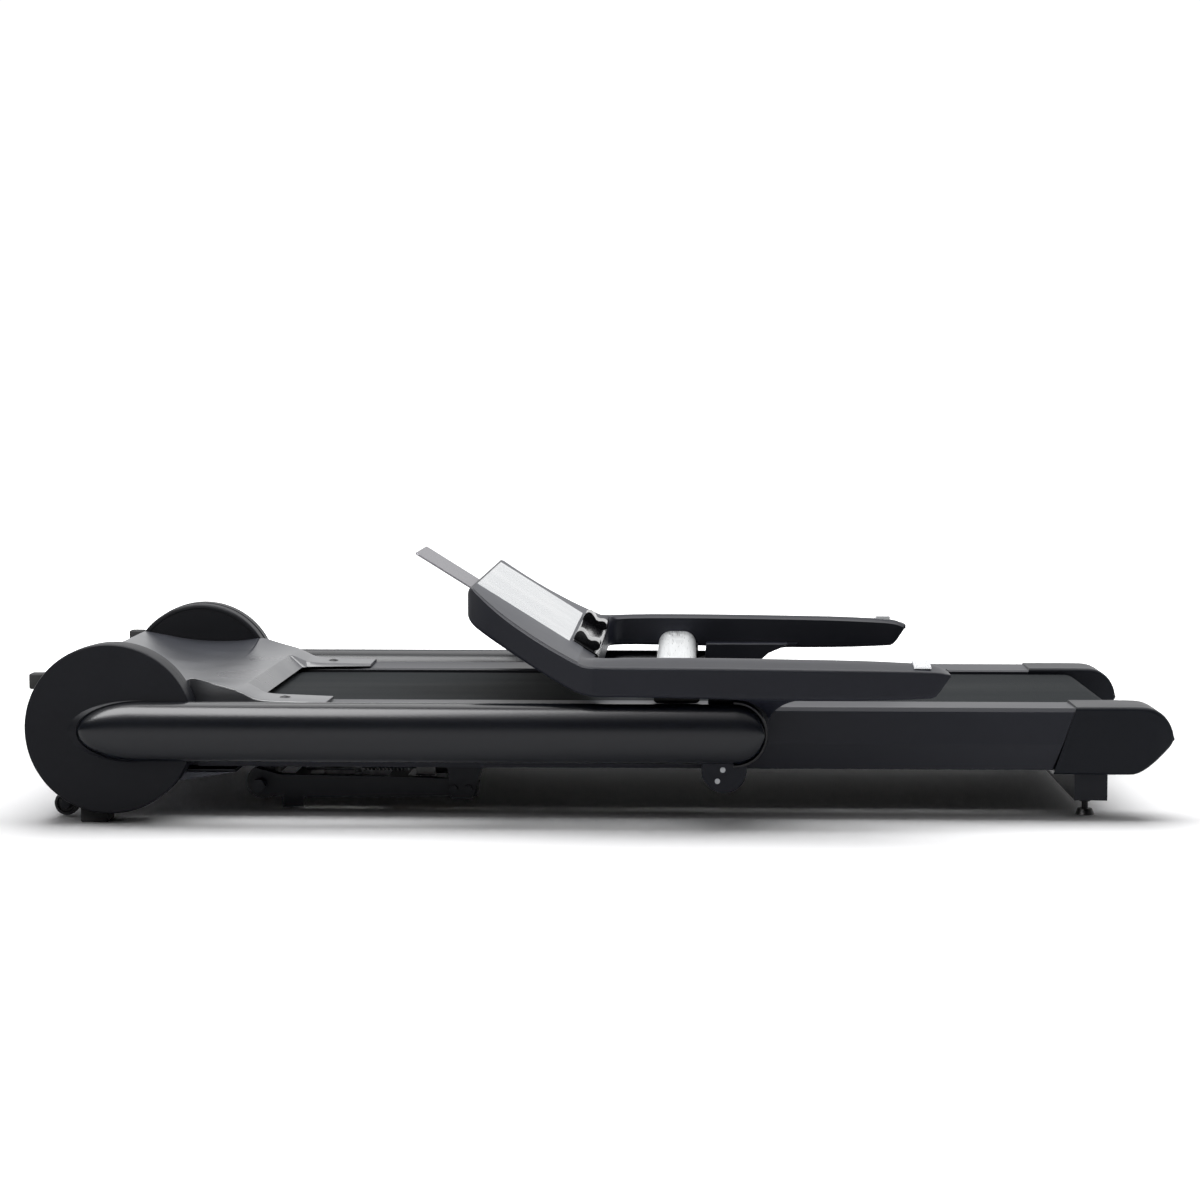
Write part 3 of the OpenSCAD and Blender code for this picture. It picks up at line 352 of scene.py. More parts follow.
def loft(bm, rings, start_cap=True, end_cap=True):
    """A skin over closed rings of points: the first ring is extruded from each ring to the next."""
    verts = [bm.verts.new(p) for p in rings[0]]
    count = len(verts)
    edges = [bm.edges.new((verts[i], verts[(i + 1) % count])) for i in range(count)]
    if start_cap:
        bm.faces.new(verts)
    for ring in rings[1:]:
        new = set(verts_of(bmesh.ops.extrude_edge_only(bm, edges=edges)))
        verts = [next(e.other_vert(v) for e in v.link_edges if e.other_vert(v) in new) for v in verts]
        for vert, point in zip(verts, ring):
            vert.co = point
        edges = [bm.edges.get((verts[i], verts[(i + 1) % count])) for i in range(count)]
    if end_cap:
        bm.faces.new(verts)
    return verts


def turned(bm, outline, centre, steps=128):
    """A body of revolution about an axis along Y through centre, from an outline of radius and Y."""
    verts = [bm.verts.new((centre.x + radius, y, centre.z)) for radius, y in outline]
    edges = [bm.edges.new(pair) for pair in zip(verts, verts[1:])]
    bmesh.ops.spin(
        bm, geom=verts + edges, cent=(centre.x, 0, centre.z), axis=(0, 1, 0),
        angle=math.tau, steps=steps, use_merge=True
    )


def thicken(bm, points, shift):
    """A flat face through points, made solid by a shift."""
    face = bm.faces.new([bm.verts.new(point) for point in points])
    made = bmesh.ops.extrude_face_region(bm, geom=[face])
    bmesh.ops.translate(bm, verts=verts_of(made), vec=shift)


def slab(bm, outline, y0, y1):
    """An outline in X and Z made solid from y0 to y1."""
    thicken(bm, [(x, y0, z) for x, z in outline], (0, y1 - y0, 0))


def tidy(bm):
    """Merges doubles and turns all faces outwards."""
    bmesh.ops.remove_doubles(bm, verts=bm.verts, dist=0.00001)
    bmesh.ops.recalc_face_normals(bm, faces=bm.faces)


def soften(bm, width, angle=28, segments=3):
    """Rounds every edge that turns by more than an angle in degrees."""
    limit = math.radians(angle)
    sharp = [e for e in bm.edges if e.is_manifold and e.calc_face_angle(0) > limit]
    bmesh.ops.bevel(
        bm, geom=sharp, offset=width, affect="EDGES", segments=segments, profile=0.5,
        material=-1, clamp_overlap=True
    )


def from_cad(node):
    """A merged copy of a CAD node's mesh with its flat faces whole again."""
    bm = bmesh.new()
    bm.from_mesh(frame["nodes"][node].data)
    bmesh.ops.remove_doubles(bm, verts=bm.verts, dist=0.00002)
    bmesh.ops.dissolve_limit(bm, angle_limit=math.radians(0.6), verts=bm.verts, edges=bm.edges)
    return bm


def arc(centre_x, centre_z, radius_x, radius_z, start, end, steps):
    """Points of an elliptic arc, its angles in degrees."""
    turns = [math.radians(start + (end - start) * i / steps) for i in range(steps + 1)]
    return [(centre_x + radius_x * math.cos(t), centre_z + radius_z * math.sin(t)) for t in turns]


def follow(table, x):
    """Smooth value at x of a table of places and values."""
    if x <= table[0][0]:
        return table[0][1]
    for (x0, v0), (x1, v1) in zip(table, table[1:]):
        if x <= x1:
            i = table.index((x0, v0))
            before = table[max(i - 1, 0)]
            after = table[min(i + 2, len(table) - 1)]
            slope0 = (v1 - before[1]) / max(x1 - before[0], 1e-9)
            slope1 = (after[1] - v0) / max(after[0] - x0, 1e-9)
            w, t = x1 - x0, (x - x0) / (x1 - x0)
            return (
                (2 * t**3 - 3 * t**2 + 1) * v0 + (t**3 - 2 * t**2 + t) * w * slope0
                + (3 * t**2 - 2 * t**3) * v1 + (t**3 - t**2) * w * slope1
            )
    return table[-1][1]


def ease(value, start, end):
    """0 before start, 1 after end, and a smooth step between them."""
    t = min(1, max(0, (value - start) / (end - start)))
    return t * t * (3 - 2 * t)


def piece(name, bm, body, slot, nodes=(), sharp=35):
    """Makes a finished mesh into a piece that rides on a body and stands for CAD nodes."""
    mesh = bpy.data.meshes.new(name)
    bm.to_mesh(mesh)
    bm.free()
    mesh.shade_smooth()
    mesh.set_sharp_from_angle(angle=math.radians(sharp))
    thing = bpy.data.objects.new(name, mesh)
    bpy.context.scene.collection.objects.link(thing)
    mesh.materials.append(bpy.data.materials[slot + "_finish"])
    even = thing.modifiers.new("Even shading", "WEIGHTED_NORMAL")
    even.keep_sharp = True
    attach(thing, body)
    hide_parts(*nodes)
    return thing


def body_of(node):
    """Name of the body that a CAD node belongs to."""
    return next(body for body, nodes in frame["record"]["behaviour"]["bodies"].items() if node in nodes)


def rounded(node, width, angle=28, segments=2, name=None):
    """A CAD node's shape with its edges rounded, as a piece in the node's place."""
    bm = from_cad(node)
    soften(bm, width, angle, segments)
    slot = frame["nodes"][node].data.materials[0].name.removesuffix("_finish")
    return piece(name or node + "_shape", bm, body_of(node), slot, [node])


SIDES = (("left", -1), ("right", 1))


def build_drums():
    """Hub drums, and the covers that turn with the uprights with the lip round each tube's nose."""
    rim = sizes().rim
    for side, s in SIDES:
        bm = bmesh.new()
        hub_r = DRUM_R - 0.001
        turned(bm, [
            (0, s * (HUB_IN + 0.0015)), (hub_r * 0.94, s * (HUB_IN + 0.0015)), (hub_r * 0.945, s * HUB_IN),
            (hub_r - rim, s * HUB_IN), (hub_r - rim * 0.3, s * (HUB_IN + rim * 0.3)),
            (hub_r, s * (HUB_IN + rim)), (hub_r, s * (HUB_OUT - 0.001)), (hub_r - 0.001, s * HUB_OUT),
            (0, s * HUB_OUT)
        ], FOLD)
        tidy(bm)
        piece(f"drum_{side}", bm, "frame", "drum_plastic", [f"hub_drum_{side}"])
        bm = bmesh.new()
        turned(bm, [
            (0, s * COVER_IN), (DRUM_R - 0.001, s * COVER_IN), (DRUM_R, s * (COVER_IN + 0.001)),
            (DRUM_R, s * (COVER_OUT - rim * 1.1)), (DRUM_R - rim * 0.3, s * (COVER_OUT - rim * 0.35)),
            (DRUM_R - rim, s * COVER_OUT), (DRUM_R * 0.5, s * COVER_OUT), (0, s * COVER_OUT)
        ], FOLD)
        tidy(bm)
        piece(f"cover_{side}", bm, "uprights", "drum_plastic", [f"disc_cover_{side}"])
        build_nose_lip(side, s)


def build_nose_lip(side, s):
    """Raised crescent on the cover, widest in front of the nose and nothing at its ends."""
    nose, width = sizes().nose, sizes().lip
    start = FOLD.x + 0.05
    across = ((0.0, -0.6), (0.0, 0.0), (0.35, 1.6), (0.7, 3.2), (0.93, 4.0), (1.0, 3.4), (1.0, -0.6))
    rings = []
    for i in range(49):
        turn = math.radians(90 + 180 * i / 48)
        swell = max(0.02, math.sin(math.pi * i / 48)) ** 0.8
        ring = []
        for inward, height in across:
            reach = nose + 0.0012 + width * swell * (1 - inward)
            half = TUBE_H + 0.0012 + 0.004 * swell * (1 - inward)
            x = start + reach * math.cos(turn)
            z = TUBE_Z + half * math.sin(turn)
            ring.append((x, s * (COVER_OUT + height * MM * swell), z))
        rings.append(ring)
    bm = bmesh.new()
    loft(bm, rings)
    tidy(bm)
    piece(f"nose_lip_{side}", bm, "uprights", "drum_plastic", sharp=50)


def oval(x, height, width, s, steps=48):
    """Ring of an upright's section at x: an oval, a little squarer than an ellipse."""
    ring = []
    for i in range(steps):
        turn = math.tau * i / steps
        c, n = math.cos(turn), math.sin(turn)
        y = width * math.copysign(abs(c) ** 0.86, c)
        z = height * math.copysign(abs(n) ** 0.92, n)
        ring.append((x, s * (COVER_OUT + y), TUBE_Z + z))
    return ring


def build_uprights():
    """Oval upright tubes: a rounded nose on the cover, a round end with a trim band at the pivot."""
    nose, trim = sizes().nose, sizes().trim
    start = FOLD.x + 0.05
    for side, s in SIDES:
        rings = []
        for i in range(1, 25):
            share = math.sin(math.pi / 2 * i / 24)
            reach = nose * math.cos(math.pi / 2 * i / 24)
            rings.append(oval(start - reach, TUBE_H * share, TUBE_W * share**0.7, s))
        for i in range(1, 21):
            rings.append(oval(start + (PIN_X - start) * i / 20, TUBE_H, TUBE_W, s))
        for i in range(1, 16):
            turn = math.radians(88 * i / 15)
            rings.append(oval(
                PIN_X + TUBE_H * math.sin(turn), TUBE_H * math.cos(turn),
                TUBE_W * (1 - 0.45 * math.sin(turn) ** 2.5), s
            ))
        bm = bmesh.new()
        loft(bm, rings)
        tidy(bm)
        nodes = [f"upright_tube_{side}"] + (["tube_end_caps"] if s > 0 else [])
        piece(f"upright_{side}", bm, "uprights", "tube_paint", nodes, sharp=60)
        profile = ((0.0002, -0.016), (0.0002, 0.009), (0.0012, 0.0105), (trim - 0.001, 0.0105),
                   (trim, 0.009), (trim, -0.016))
        bm = bmesh.new()
        rings = []
        for i in range(41):
            turn = math.radians(-92 + 184 * i / 40)
            rings.append([
                (
                    PIN_X + (TUBE_H + out) * math.cos(turn),
                    s * (COVER_OUT + y),
                    TUBE_Z + (TUBE_H + out) * math.sin(turn),
                )
                for out, y in profile
            ])
        loft(bm, rings)
        tidy(bm)
        piece(f"end_trim_{side}", bm, "uprights", "black_plastic", sharp=40)


# Motor hood

HOOD_FRONT = -0.114
LIP = 0.178
PRONG_END = 0.317
LIP_HALF = 0.213
DISH_HALF = 0.14
HOOD_SPINE = ((-0.114, 0.196), (-0.112, 0.209), (-0.107, 0.218), (-0.100, 0.222), (-0.07, 0.216),
              (-0.02, 0.2025), (0.033, 0.1945), (0.075, 0.1925), (0.117, 0.193), (0.15, 0.1935),
              (0.178, 0.1935))
HOOD_EDGE = ((-0.114, 0.197), (-0.112, 0.210), (-0.107, 0.219), (-0.100, 0.223), (-0.07, 0.2185),
             (-0.02, 0.2095), (0.033, 0.206), (0.075, 0.2075), (0.105, 0.2115), (0.117, 0.213),
             (0.15, 0.2035), (0.186, 0.193), (0.206, 0.1835), (0.225, 0.1805), (0.26, 0.1795),
             (0.317, 0.178))
NOTCH_EDGE = ((0.178, 0.213), (0.204, 0.226), (0.217, 0.2285), (0.317, 0.240))


def hood_outer(x):
    """Half width of the hood: between the drums, then over the rails."""
    return HUB_IN - 0.001 if x < 0.107 else RAIL_HIGH.y


def hood_height(x, y):
    """Height of the hood's skin: a dipped spine, fillets up the drums and slopes down to the prongs."""
    y = abs(y)
    if x <= LIP:
        spine = follow(HOOD_SPINE, x)
        rise = max(0, (y - DISH_HALF) / (hood_outer(x) - DISH_HALF)) ** 2.2
        return spine + (follow(HOOD_EDGE, x) - spine) * rise
    share = (y - follow(NOTCH_EDGE, x)) / (RAIL_HIGH.y - follow(NOTCH_EDGE, x))
    return follow(HOOD_EDGE, x) - 0.0015 * (1 - share) - 0.0012 * share**6


def build_hood():
    """Hood between the drums: one bent sheet with a notch for the belt and two prongs over the rails."""
    columns, split = 34, 22
    stations = sorted(
        {round(HOOD_FRONT + 0.014 + i * 0.006, 4) for i in range(69)}
        | {HOOD_FRONT, -0.112, -0.107, 0.106, 0.108, LIP, 0.204, 0.21}
    )
    stations = [x for x in stations if x <= LIP + 0.0001] + [
        x for x in stations if x > LIP + 0.002 and x < PRONG_END - 0.003] + [PRONG_END]
    bm = bmesh.new()
    bmesh.ops.create_grid(bm, x_segments=len(stations) - 1, y_segments=2 * columns, size=1.0)
    skin = {}
    for vert in bm.verts:
        row = round((vert.co.x + 1) / 2 * (len(stations) - 1))
        column = round(vert.co.y * columns)
        skin[vert] = (row, column)
        x = stations[row]
        inner = LIP_HALF if x <= LIP else follow(NOTCH_EDGE, x)
        outer = hood_outer(x)
        k = abs(column)
        y = inner * k / split if k <= split else inner + (outer - inner) * (k - split) / (columns - split)
        y = math.copysign(y, column) if column else 0.0
        vert.co = (FOLD.x + x, y, hood_height(x, y))
    lip_row = stations.index(LIP)
    gone = [
        f for f in bm.faces
        if all(skin[v][0] >= lip_row for v in f.verts) and all(abs(skin[v][1]) <= split for v in f.verts)
    ]
    bmesh.ops.delete(bm, geom=gone, context="FACES")
    loose = [v for v in bm.verts if not v.link_faces]
    bmesh.ops.delete(bm, geom=loose, context="VERTS")
    notch = [
        e for e in bm.edges
        if e.is_boundary and all(skin[v][0] >= lip_row and abs(skin[v][1]) <= split for v in e.verts)
    ]
    rest = [e for e in bm.edges if e.is_boundary and e not in notch]
    low = RAIL_HIGH.z + 0.0005
    for vert in verts_of(bmesh.ops.extrude_edge_only(bm, edges=notch)):
        x = vert.co.x - FOLD.x
        along = 1 - ease(x, LIP, 0.215)
        vert.co.x += 0.024 * along
        vert.co.y -= math.copysign(0.010 * (1 - 0.35 * along), vert.co.y) if abs(vert.co.y) > 0.2 else 0
        vert.co.z = low + 0.001
    for vert in verts_of(bmesh.ops.extrude_edge_only(bm, edges=rest)):
        vert.co.z = low
    bmesh.ops.remove_doubles(bm, verts=bm.verts, dist=0.00001)
    bmesh.ops.recalc_face_normals(bm, faces=bm.faces)
    if sum(f.normal.z for f in bm.faces) < 0:
        bmesh.ops.reverse_faces(bm, faces=bm.faces)
    crease = [e for e in bm.edges if e.is_manifold and e.calc_face_angle(0) > math.radians(32)]
    bmesh.ops.bevel(
        bm, geom=crease, offset=0.0018, affect="EDGES", segments=2, profile=0.5, material=-1,
        clamp_overlap=True
    )
    piece("hood", bm, "frame", "hood_plastic", ["motor_hood"], sharp=50)


def build_hood_screws():
    """Sunk screws with domed heads, one in each prong."""
    for side, s in SIDES:
        bm = bmesh.new()
        x = FOLD.x + 0.247
        y = s * 0.275
        z = hood_height(0.247, 0.275)
        rings = []
        for radius, rise in ((0.0085, 0.0002), (0.0082, 0.0008), (0.0068, 0.0008), (0.0062, -0.001),
                             (0.0062, 0.0), (0.0055, 0.0013), (0.0035, 0.0021), (0.0028, 0.0021),
                             (0.0026, -0.0004)):
            rings.append([
                (x + radius * math.cos(math.tau * i / 36), y + radius * math.sin(math.tau * i / 36), z + rise)
                for i in range(36)
            ])
        loft(bm, rings, start_cap=False)
        tidy(bm)
        nodes = ["hood_screws"] if s > 0 else []
        piece(f"hood_screw_{side}", bm, "frame", "black_plastic", nodes)


# Rails, caps and deck


def build_rails():
    """Side rails with their edges rounded, and end caps moulded round the rear corners."""
    for side, s in SIDES:
        rounded(f"side_rail_{side}", 0.0016, angle=6, segments=2, name=f"rail_{side}")
        build_cap(side, s)


def build_cap(side, s):
    """End cap: sections in Y and Z lofted along the rail, drawn in to a blunt nose."""
    seam_top, tip = 0.7165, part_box(f"end_cap_{side}")[1].x
    y0, y1 = RAIL_LOW.y - 0.0004, RAIL_HIGH.y + 0.0006
    upper = ((0.0, 0.1742), (0.62, 0.1742), (0.74, 0.1725), (0.84, 0.166), (0.92, 0.155), (0.975, 0.140),
             (1.0, 0.1255))
    lower = ((0.0, 0.0712), (0.60, 0.0708), (0.655, 0.0728), (0.72, 0.0795), (0.85, 0.097), (0.95, 0.1115),
             (1.0, 0.1225))
    rings = []
    steps = [0, 0.02, 0.2, 0.4, 0.52, 0.58, 0.62, 0.66, 0.7, 0.74, 0.78, 0.82, 0.86, 0.89, 0.92, 0.945,
             0.965, 0.98, 0.99, 0.997, 1.0]
    for share in steps:
        top = follow(upper, share)
        bottom = follow(lower, share)
        pinch = 0.010 * ease(share, 0.7, 1.0) ** 1.5 + (0.004 * ease(share, 0.97, 1.0))
        inner, outer = y0 + pinch, y1 - pinch
        radius = min(0.006, (top - bottom) * 0.42)
        knee = bottom + (top - bottom) * 0.44
        ring = []
        corners = ((outer, bottom, -90, 0), (outer, knee, None, None), (outer, top, 0, 90),
                   (inner, top, 90, 180), (inner, bottom, 180, 270))
        for y, z, start, end in corners:
            if start is None:
                ring += [(y, z)]
                continue
            cy = y + (-radius if y == outer else radius)
            cz = z + (radius if z == bottom else -radius)
            ring += arc(cy, cz, radius, radius, start, end, 5)
        lean = 0.034 * (1 - ease(share, 0, 0.85))
        cap_length = tip - seam_top
        ring = [
            (
                seam_top + cap_length * share - lean * (0.174 - z) / 0.104,
                s * (y - 0.0012 * (z < knee - 0.001)),
                z,
            )
            for y, z in ring
        ]
        rings.append(ring)
    bm = bmesh.new()
    loft(bm, rings)
    tidy(bm)
    soften(bm, 0.0012, angle=50, segments=2)
    piece(f"cap_{side}", bm, "frame", "cap_plastic", [f"end_cap_{side}"], sharp=40)


def build_deck():
    """Running belt round its rollers, with its edges eased."""
    bm = from_cad("running_belt")
    soften(bm, 0.0006, angle=60, segments=2)
    piece("belt", bm, "frame", "belt_rubber", ["running_belt"], sharp=30)


# Console and handrails, drawn along X from the fold axis

BEND = 0.719
OUTER_HALF = ((0.534, 0.319), (0.536, 0.3235), (0.540, 0.329), (0.560, 0.350), (0.584, 0.370),
              (0.627, 0.395), (0.660, 0.411), (0.691, 0.4245), (0.719, 0.4338), (0.745, 0.4344),
              (1.20, 0.4344), (1.254, 0.4335))
UNDERSIDE = ((0.534, 0.309), (0.536, 0.3045), (0.541, 0.298), (0.549, 0.2915), (0.597, 0.2632),
             (0.645, 0.2352), (0.685, 0.2135), (0.706, 0.2045), (0.73, 0.1995), (0.76, 0.199),
             (1.227, 0.199), (1.254, 0.2305))
BACK_EDGE = ((0.534, 0.3445), (0.5350, 0.3482), (0.5375, 0.3525), (0.5405, 0.3545), (0.56, 0.40))
GRIP_EDGE = ((0.70, 0.2435), (0.76, 0.2425), (0.90, 0.2415), (1.10, 0.2395), (1.20, 0.2385), (1.236, 0.2375),
             (1.254, 0.2345))
CROWN = ((0.70, 0.006), (0.80, 0.0105), (1.10, 0.0105), (1.18, 0.0085), (1.235, 0.0055), (1.254, 0.0005))
SKIN_DROP = ((0.534, 0.001), (0.56, 0.006), (0.60, 0.010), (0.65, 0.009), (0.70, 0.004), (0.73, 0.001))


def console_plane(x):
    """Height of the console's face at x."""
    return GRIP_HIGH.z - 0.006 + (BEND - x) * math.tan(SLOPE)


def console_top(x, y, inner):
    """Height of the skin of the console and handrails at x and a distance y from the middle."""
    outer = follow(OUTER_HALF, x)
    share = min(1, max(0, (y - 0.258) / max(outer - 0.258, 0.001)))
    face = console_plane(x) - follow(SKIN_DROP, x) * share**1.5
    across = min(1, max(0, (y - 0.365) / (outer - 0.365)))
    grip = follow(GRIP_EDGE, x) + follow(CROWN, x) * math.sin(math.pi / 2 * min(1, (1 - across) / 0.8))
    grip = face - 0.03 + (grip - face + 0.03) * ease(y, 0.28, 0.362)
    if inner > 0.3:
        face = min(face, grip + 0.004)
    high = (face + grip + math.sqrt((face - grip) ** 2 + 0.005**2)) / 2
    return min(high, follow(BACK_EDGE, x)) if x < 0.55 else high


def console_ring(x, inner, s):
    """Section of one half of the console, or of a handrail, at x, with rounded corners."""
    outer = follow(OUTER_HALF, x)
    bottom = follow(UNDERSIDE, x)
    edge_z = console_top(x, outer - 0.005, inner)
    height = edge_z - bottom
    round_top = min(0.0045, height * 0.3)
    round_low = min(0.007, height * 0.3)
    points = []
    for share in (0, 0.12, 0.25, 0.4, 0.55, 0.68, 0.78, 0.86, 0.92, 0.96, 1.0):
        y = inner + (outer - round_top - inner) * share
        inset = 0.0
        if inner > 0.3 and share < 0.13:
            inset = 0.006 if share == 0 else 0.0008
        points.append((y, console_top(x, y, inner) - inset))
    last = points[-1][1]
    points += arc(outer - round_top, last - round_top, round_top, round_top, 75, 0, 4)
    points += arc(outer - round_low * 0.55, bottom + round_low, round_low * 0.55, round_low, 0, -90, 4)
    for share in (0.75, 0.5, 0.25):
        points.append((inner + (outer - inner) * share, bottom))
    if inner > 0.3:
        points += [(inner + 0.006, bottom), (inner + 0.0015, bottom + 0.0015), (inner, bottom + 0.006)]
    else:
        points += [(inner + 0.006, bottom), (inner + 0.003, bottom), (inner, bottom)]
    return [(FOLD.x + x, s * y, z) for y, z in points]


def build_console_body():
    """One moulding: the sloped console and the two handrails that grow out of its lower end."""
    bm = bmesh.new()
    xs = [0.534, 0.5346, 0.5358, 0.538, 0.541, 0.545, 0.55] + [0.56 + 0.008 * i for i in range(21)] + [0.7275]
    grips = [0.7275, 0.7285, 0.7315, 0.737, 0.744, 0.755, 0.77] + [0.80 + 0.04 * i for i in range(11)]
    grips += [1.215, 1.227, 1.233, 1.240, 1.246, 1.251, 1.254]
    throat = ((0.7275, 0.318), (0.7285, 0.332), (0.7315, 0.345), (0.737, 0.355), (0.744, 0.361),
              (0.755, 0.3645), (0.77, 0.3655), (1.235, 0.3655), (1.254, 0.3685))
    for s in (-1, 1):
        rings = [console_ring(x, 0.0, s) for x in xs]
        rings += [console_ring(x, follow(throat, x), s) for x in grips]
        loft(bm, rings)
    inside = [f for f in bm.faces if all(abs(v.co.y) < 0.00001 for v in f.verts)]
    bmesh.ops.delete(bm, geom=inside, context="FACES")
    tidy(bm)
    piece(
        "console_body", bm, "console", "console_plastic",
        ["console_shell", "handrail_left", "handrail_right"], sharp=42
    )


def build_bezel():
    """Satin skin on the console's face, a hair above the moulding and open round the display. Its colour,
    lighter than the console's, is painted light on the top face.
    """
    bm = bmesh.new()
    x_lines = [0.5425, 0.552, 0.565, 0.58, 0.60, 0.62, 0.64, 0.66, 0.6755, 0.6875, 0.695, 0.701, 0.7055]
    low_x = DISPLAY_HIGH.x - FOLD.x + 0.0008
    x_lines = sorted(set(x_lines) | {low_x})
    columns, split = 20, 14
    bmesh.ops.create_grid(bm, x_segments=len(x_lines) - 1, y_segments=2 * columns, size=1.0)
    where = {}
    display_half = DISPLAY_HIGH.y + 0.0008
    for vert in bm.verts:
        row = round((vert.co.x + 1) / 2 * (len(x_lines) - 1))
        column = round(vert.co.y * columns)
        x, k = x_lines[row], abs(column)
        outer = follow(OUTER_HALF, x) - 0.0075
        y = display_half * k / split
        if k > split:
            y = display_half + (outer - display_half) * (k - split) / (columns - split)
        where[vert] = (x, k)
        vert.co = (FOLD.x + x, math.copysign(y, column) if column else 0, console_top(x, y, 0) + 0.0007)
    window = [
        f for f in bm.faces
        if all(where[v][0] <= low_x + 0.0001 and where[v][1] <= split for v in f.verts)
    ]
    bmesh.ops.delete(bm, geom=window, context="FACES")
    bmesh.ops.delete(bm, geom=[v for v in bm.verts if not v.link_faces], context="VERTS")
    rim = [e for e in bm.edges if e.is_boundary]
    made = bmesh.ops.extrude_edge_only(bm, edges=rim)
    bmesh.ops.translate(bm, verts=verts_of(made), vec=(-0.0006, 0, -0.0022))
    bmesh.ops.recalc_face_normals(bm, faces=bm.faces)
    if sum(f.normal.z * f.calc_area() for f in bm.faces) < 0:
        bmesh.ops.reverse_faces(bm, faces=bm.faces)
    piece("bezel", bm, "console", "bezel_plastic", ["console_bezel"], sharp=40)


def on_face(s_along, y, rise):
    """Point at a distance down the console's slope from its bend, y across, and rise off its face."""
    return (
        FOLD.x + BEND + s_along * math.cos(SLOPE) + rise * math.sin(SLOPE),
        y,
        console_plane(BEND) - s_along * math.sin(SLOPE) + rise * math.cos(SLOPE),
    )


def face_slab(bm, outline, y0, y1):
    """An outline along the slope and off the face, made solid from y0 to y1."""
    thicken(bm, [on_face(along, y0, rise) for along, rise in outline], (0, y1 - y0, 0))


def build_ledge():
    """Gloss ledge under the display, and the two rolled stops that a tablet leans on."""
    bm = bmesh.new()
    face_slab(bm, [(-0.036, -0.002), (0.0115, -0.002), (0.0115, 0.0008), (0.008, 0.0028), (-0.033, 0.0028),
                   (-0.036, 0.0012)], -0.219, 0.219)
    tidy(bm)
    soften(bm, 0.0008, angle=40, segments=2)
    piece("ledge_plate", bm, "console", "gloss_black", ["ledge"])
    for side, s in SIDES:
        bm = bmesh.new()
        roll = [(-0.036, 0.0015), (-0.0372, 0.006), (-0.0372, 0.0125)]
        roll += arc(-0.0295, 0.0125, 0.0077, 0.0068, 172, 60, 6)
        roll += [(-0.021, 0.0165), (-0.016, 0.0138), (-0.011, 0.0142)]
        roll += arc(-0.002, 0.0105, 0.0085, 0.0078, 120, -60, 8)
        roll += [(-0.002, 0.0018)]
        face_slab(bm, roll, s * 0.142, s * 0.199)
        tidy(bm)
        soften(bm, 0.0011, angle=50, segments=2)
        piece(f"tablet_stop_{side}", bm, "console", "gloss_black", sharp=32)


def build_holder():
    """Tablet holder: a plate that slides out of the console's back edge, rounded at its corners."""
    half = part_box("tablet_holder")[1].y
    far, near, corner = -0.317, -0.19, 0.006
    sunk, thick = -0.03, 0.003
    outline = arc(far, half - corner, corner, corner, 90, 180, 5)
    outline += arc(far, corner - half, corner, corner, 180, 270, 5)
    outline += [(near, -half), (near, half)]
    bm = bmesh.new()
    up = (thick * math.sin(SLOPE), 0, thick * math.cos(SLOPE))
    thicken(bm, [on_face(along, y, sunk) for along, y in outline], up)
    tidy(bm)
    soften(bm, 0.0006, angle=40, segments=2)
    piece("tablet_plate", bm, "tablet_holder", "holder_plate", ["tablet_holder"])


def build_lobes():
    """Lobes that carry the handrails on the uprights' ends, with the ear and the flare under the rail."""
    ear_x, ear_z, ear_r = 0.923, 0.082, 0.034
    for side, s in SIDES:
        bm = bmesh.new()
        outline = [(0.900, 0.205), (0.897, 0.150), (0.889, 0.118)]
        outline += arc(ear_x, ear_z, ear_r, ear_r, 172, 382, 24)
        outline += [(0.970, 0.104), (0.980, 0.111), (0.986, 0.122), (0.9885, 0.141), (0.990, 0.160),
                    (0.998, 0.177), (1.010, 0.188), (1.030, 0.1965), (1.045, 0.205)]
        slab(bm, [(FOLD.x + x, z) for x, z in outline], s * 0.332, s * 0.372)
        tidy(bm)
        soften(bm, 0.0022, angle=40, segments=3)
        piece(f"lobe_{side}", bm, "console", "console_plastic", sharp=40)
        bm = bmesh.new()
        right = ((0.160, 0.9895), (0.167, 0.9925), (0.177, 0.999), (0.188, 1.011), (0.195, 1.029),
                 (0.199, 1.052), (0.204, 1.062))
        out = ((0.160, 0.3735), (0.172, 0.390), (0.183, 0.412), (0.193, 0.4285), (0.2, 0.4345),
               (0.204, 0.4345))
        rings = []
        for z in (0.204, 0.2, 0.1975, 0.195, 0.192, 0.189, 0.185, 0.181, 0.177, 0.173, 0.169, 0.165, 0.162):
            reach = 0.055**2 - (z - TUBE_Z) ** 2
            x0 = PIN_X - FOLD.x + (math.sqrt(reach) if reach > 0 else -0.012)
            x1 = max(follow(right, z), x0 + 0.003)
            y1 = follow(out, z)
            r = min(0.002, (x1 - x0) * 0.3)
            ring = [(x0, 0.350), (x1 - 0.0005, 0.350), (x1, 0.352)]
            ring += [(x1, y1 - r), (x1 - r * 0.3, y1 - r * 0.3), (x1 - r, y1), (x0 + r, y1),
                     (x0 + r * 0.3, y1 - r * 0.3), (x0, y1 - r)]
            rings.append([(FOLD.x + x, s * y, z) for x, y in ring])
        loft(bm, rings)
        tidy(bm)
        piece(f"lobe_flare_{side}", bm, "console", "console_plastic", sharp=45)
        build_shade_saddle(side, s)


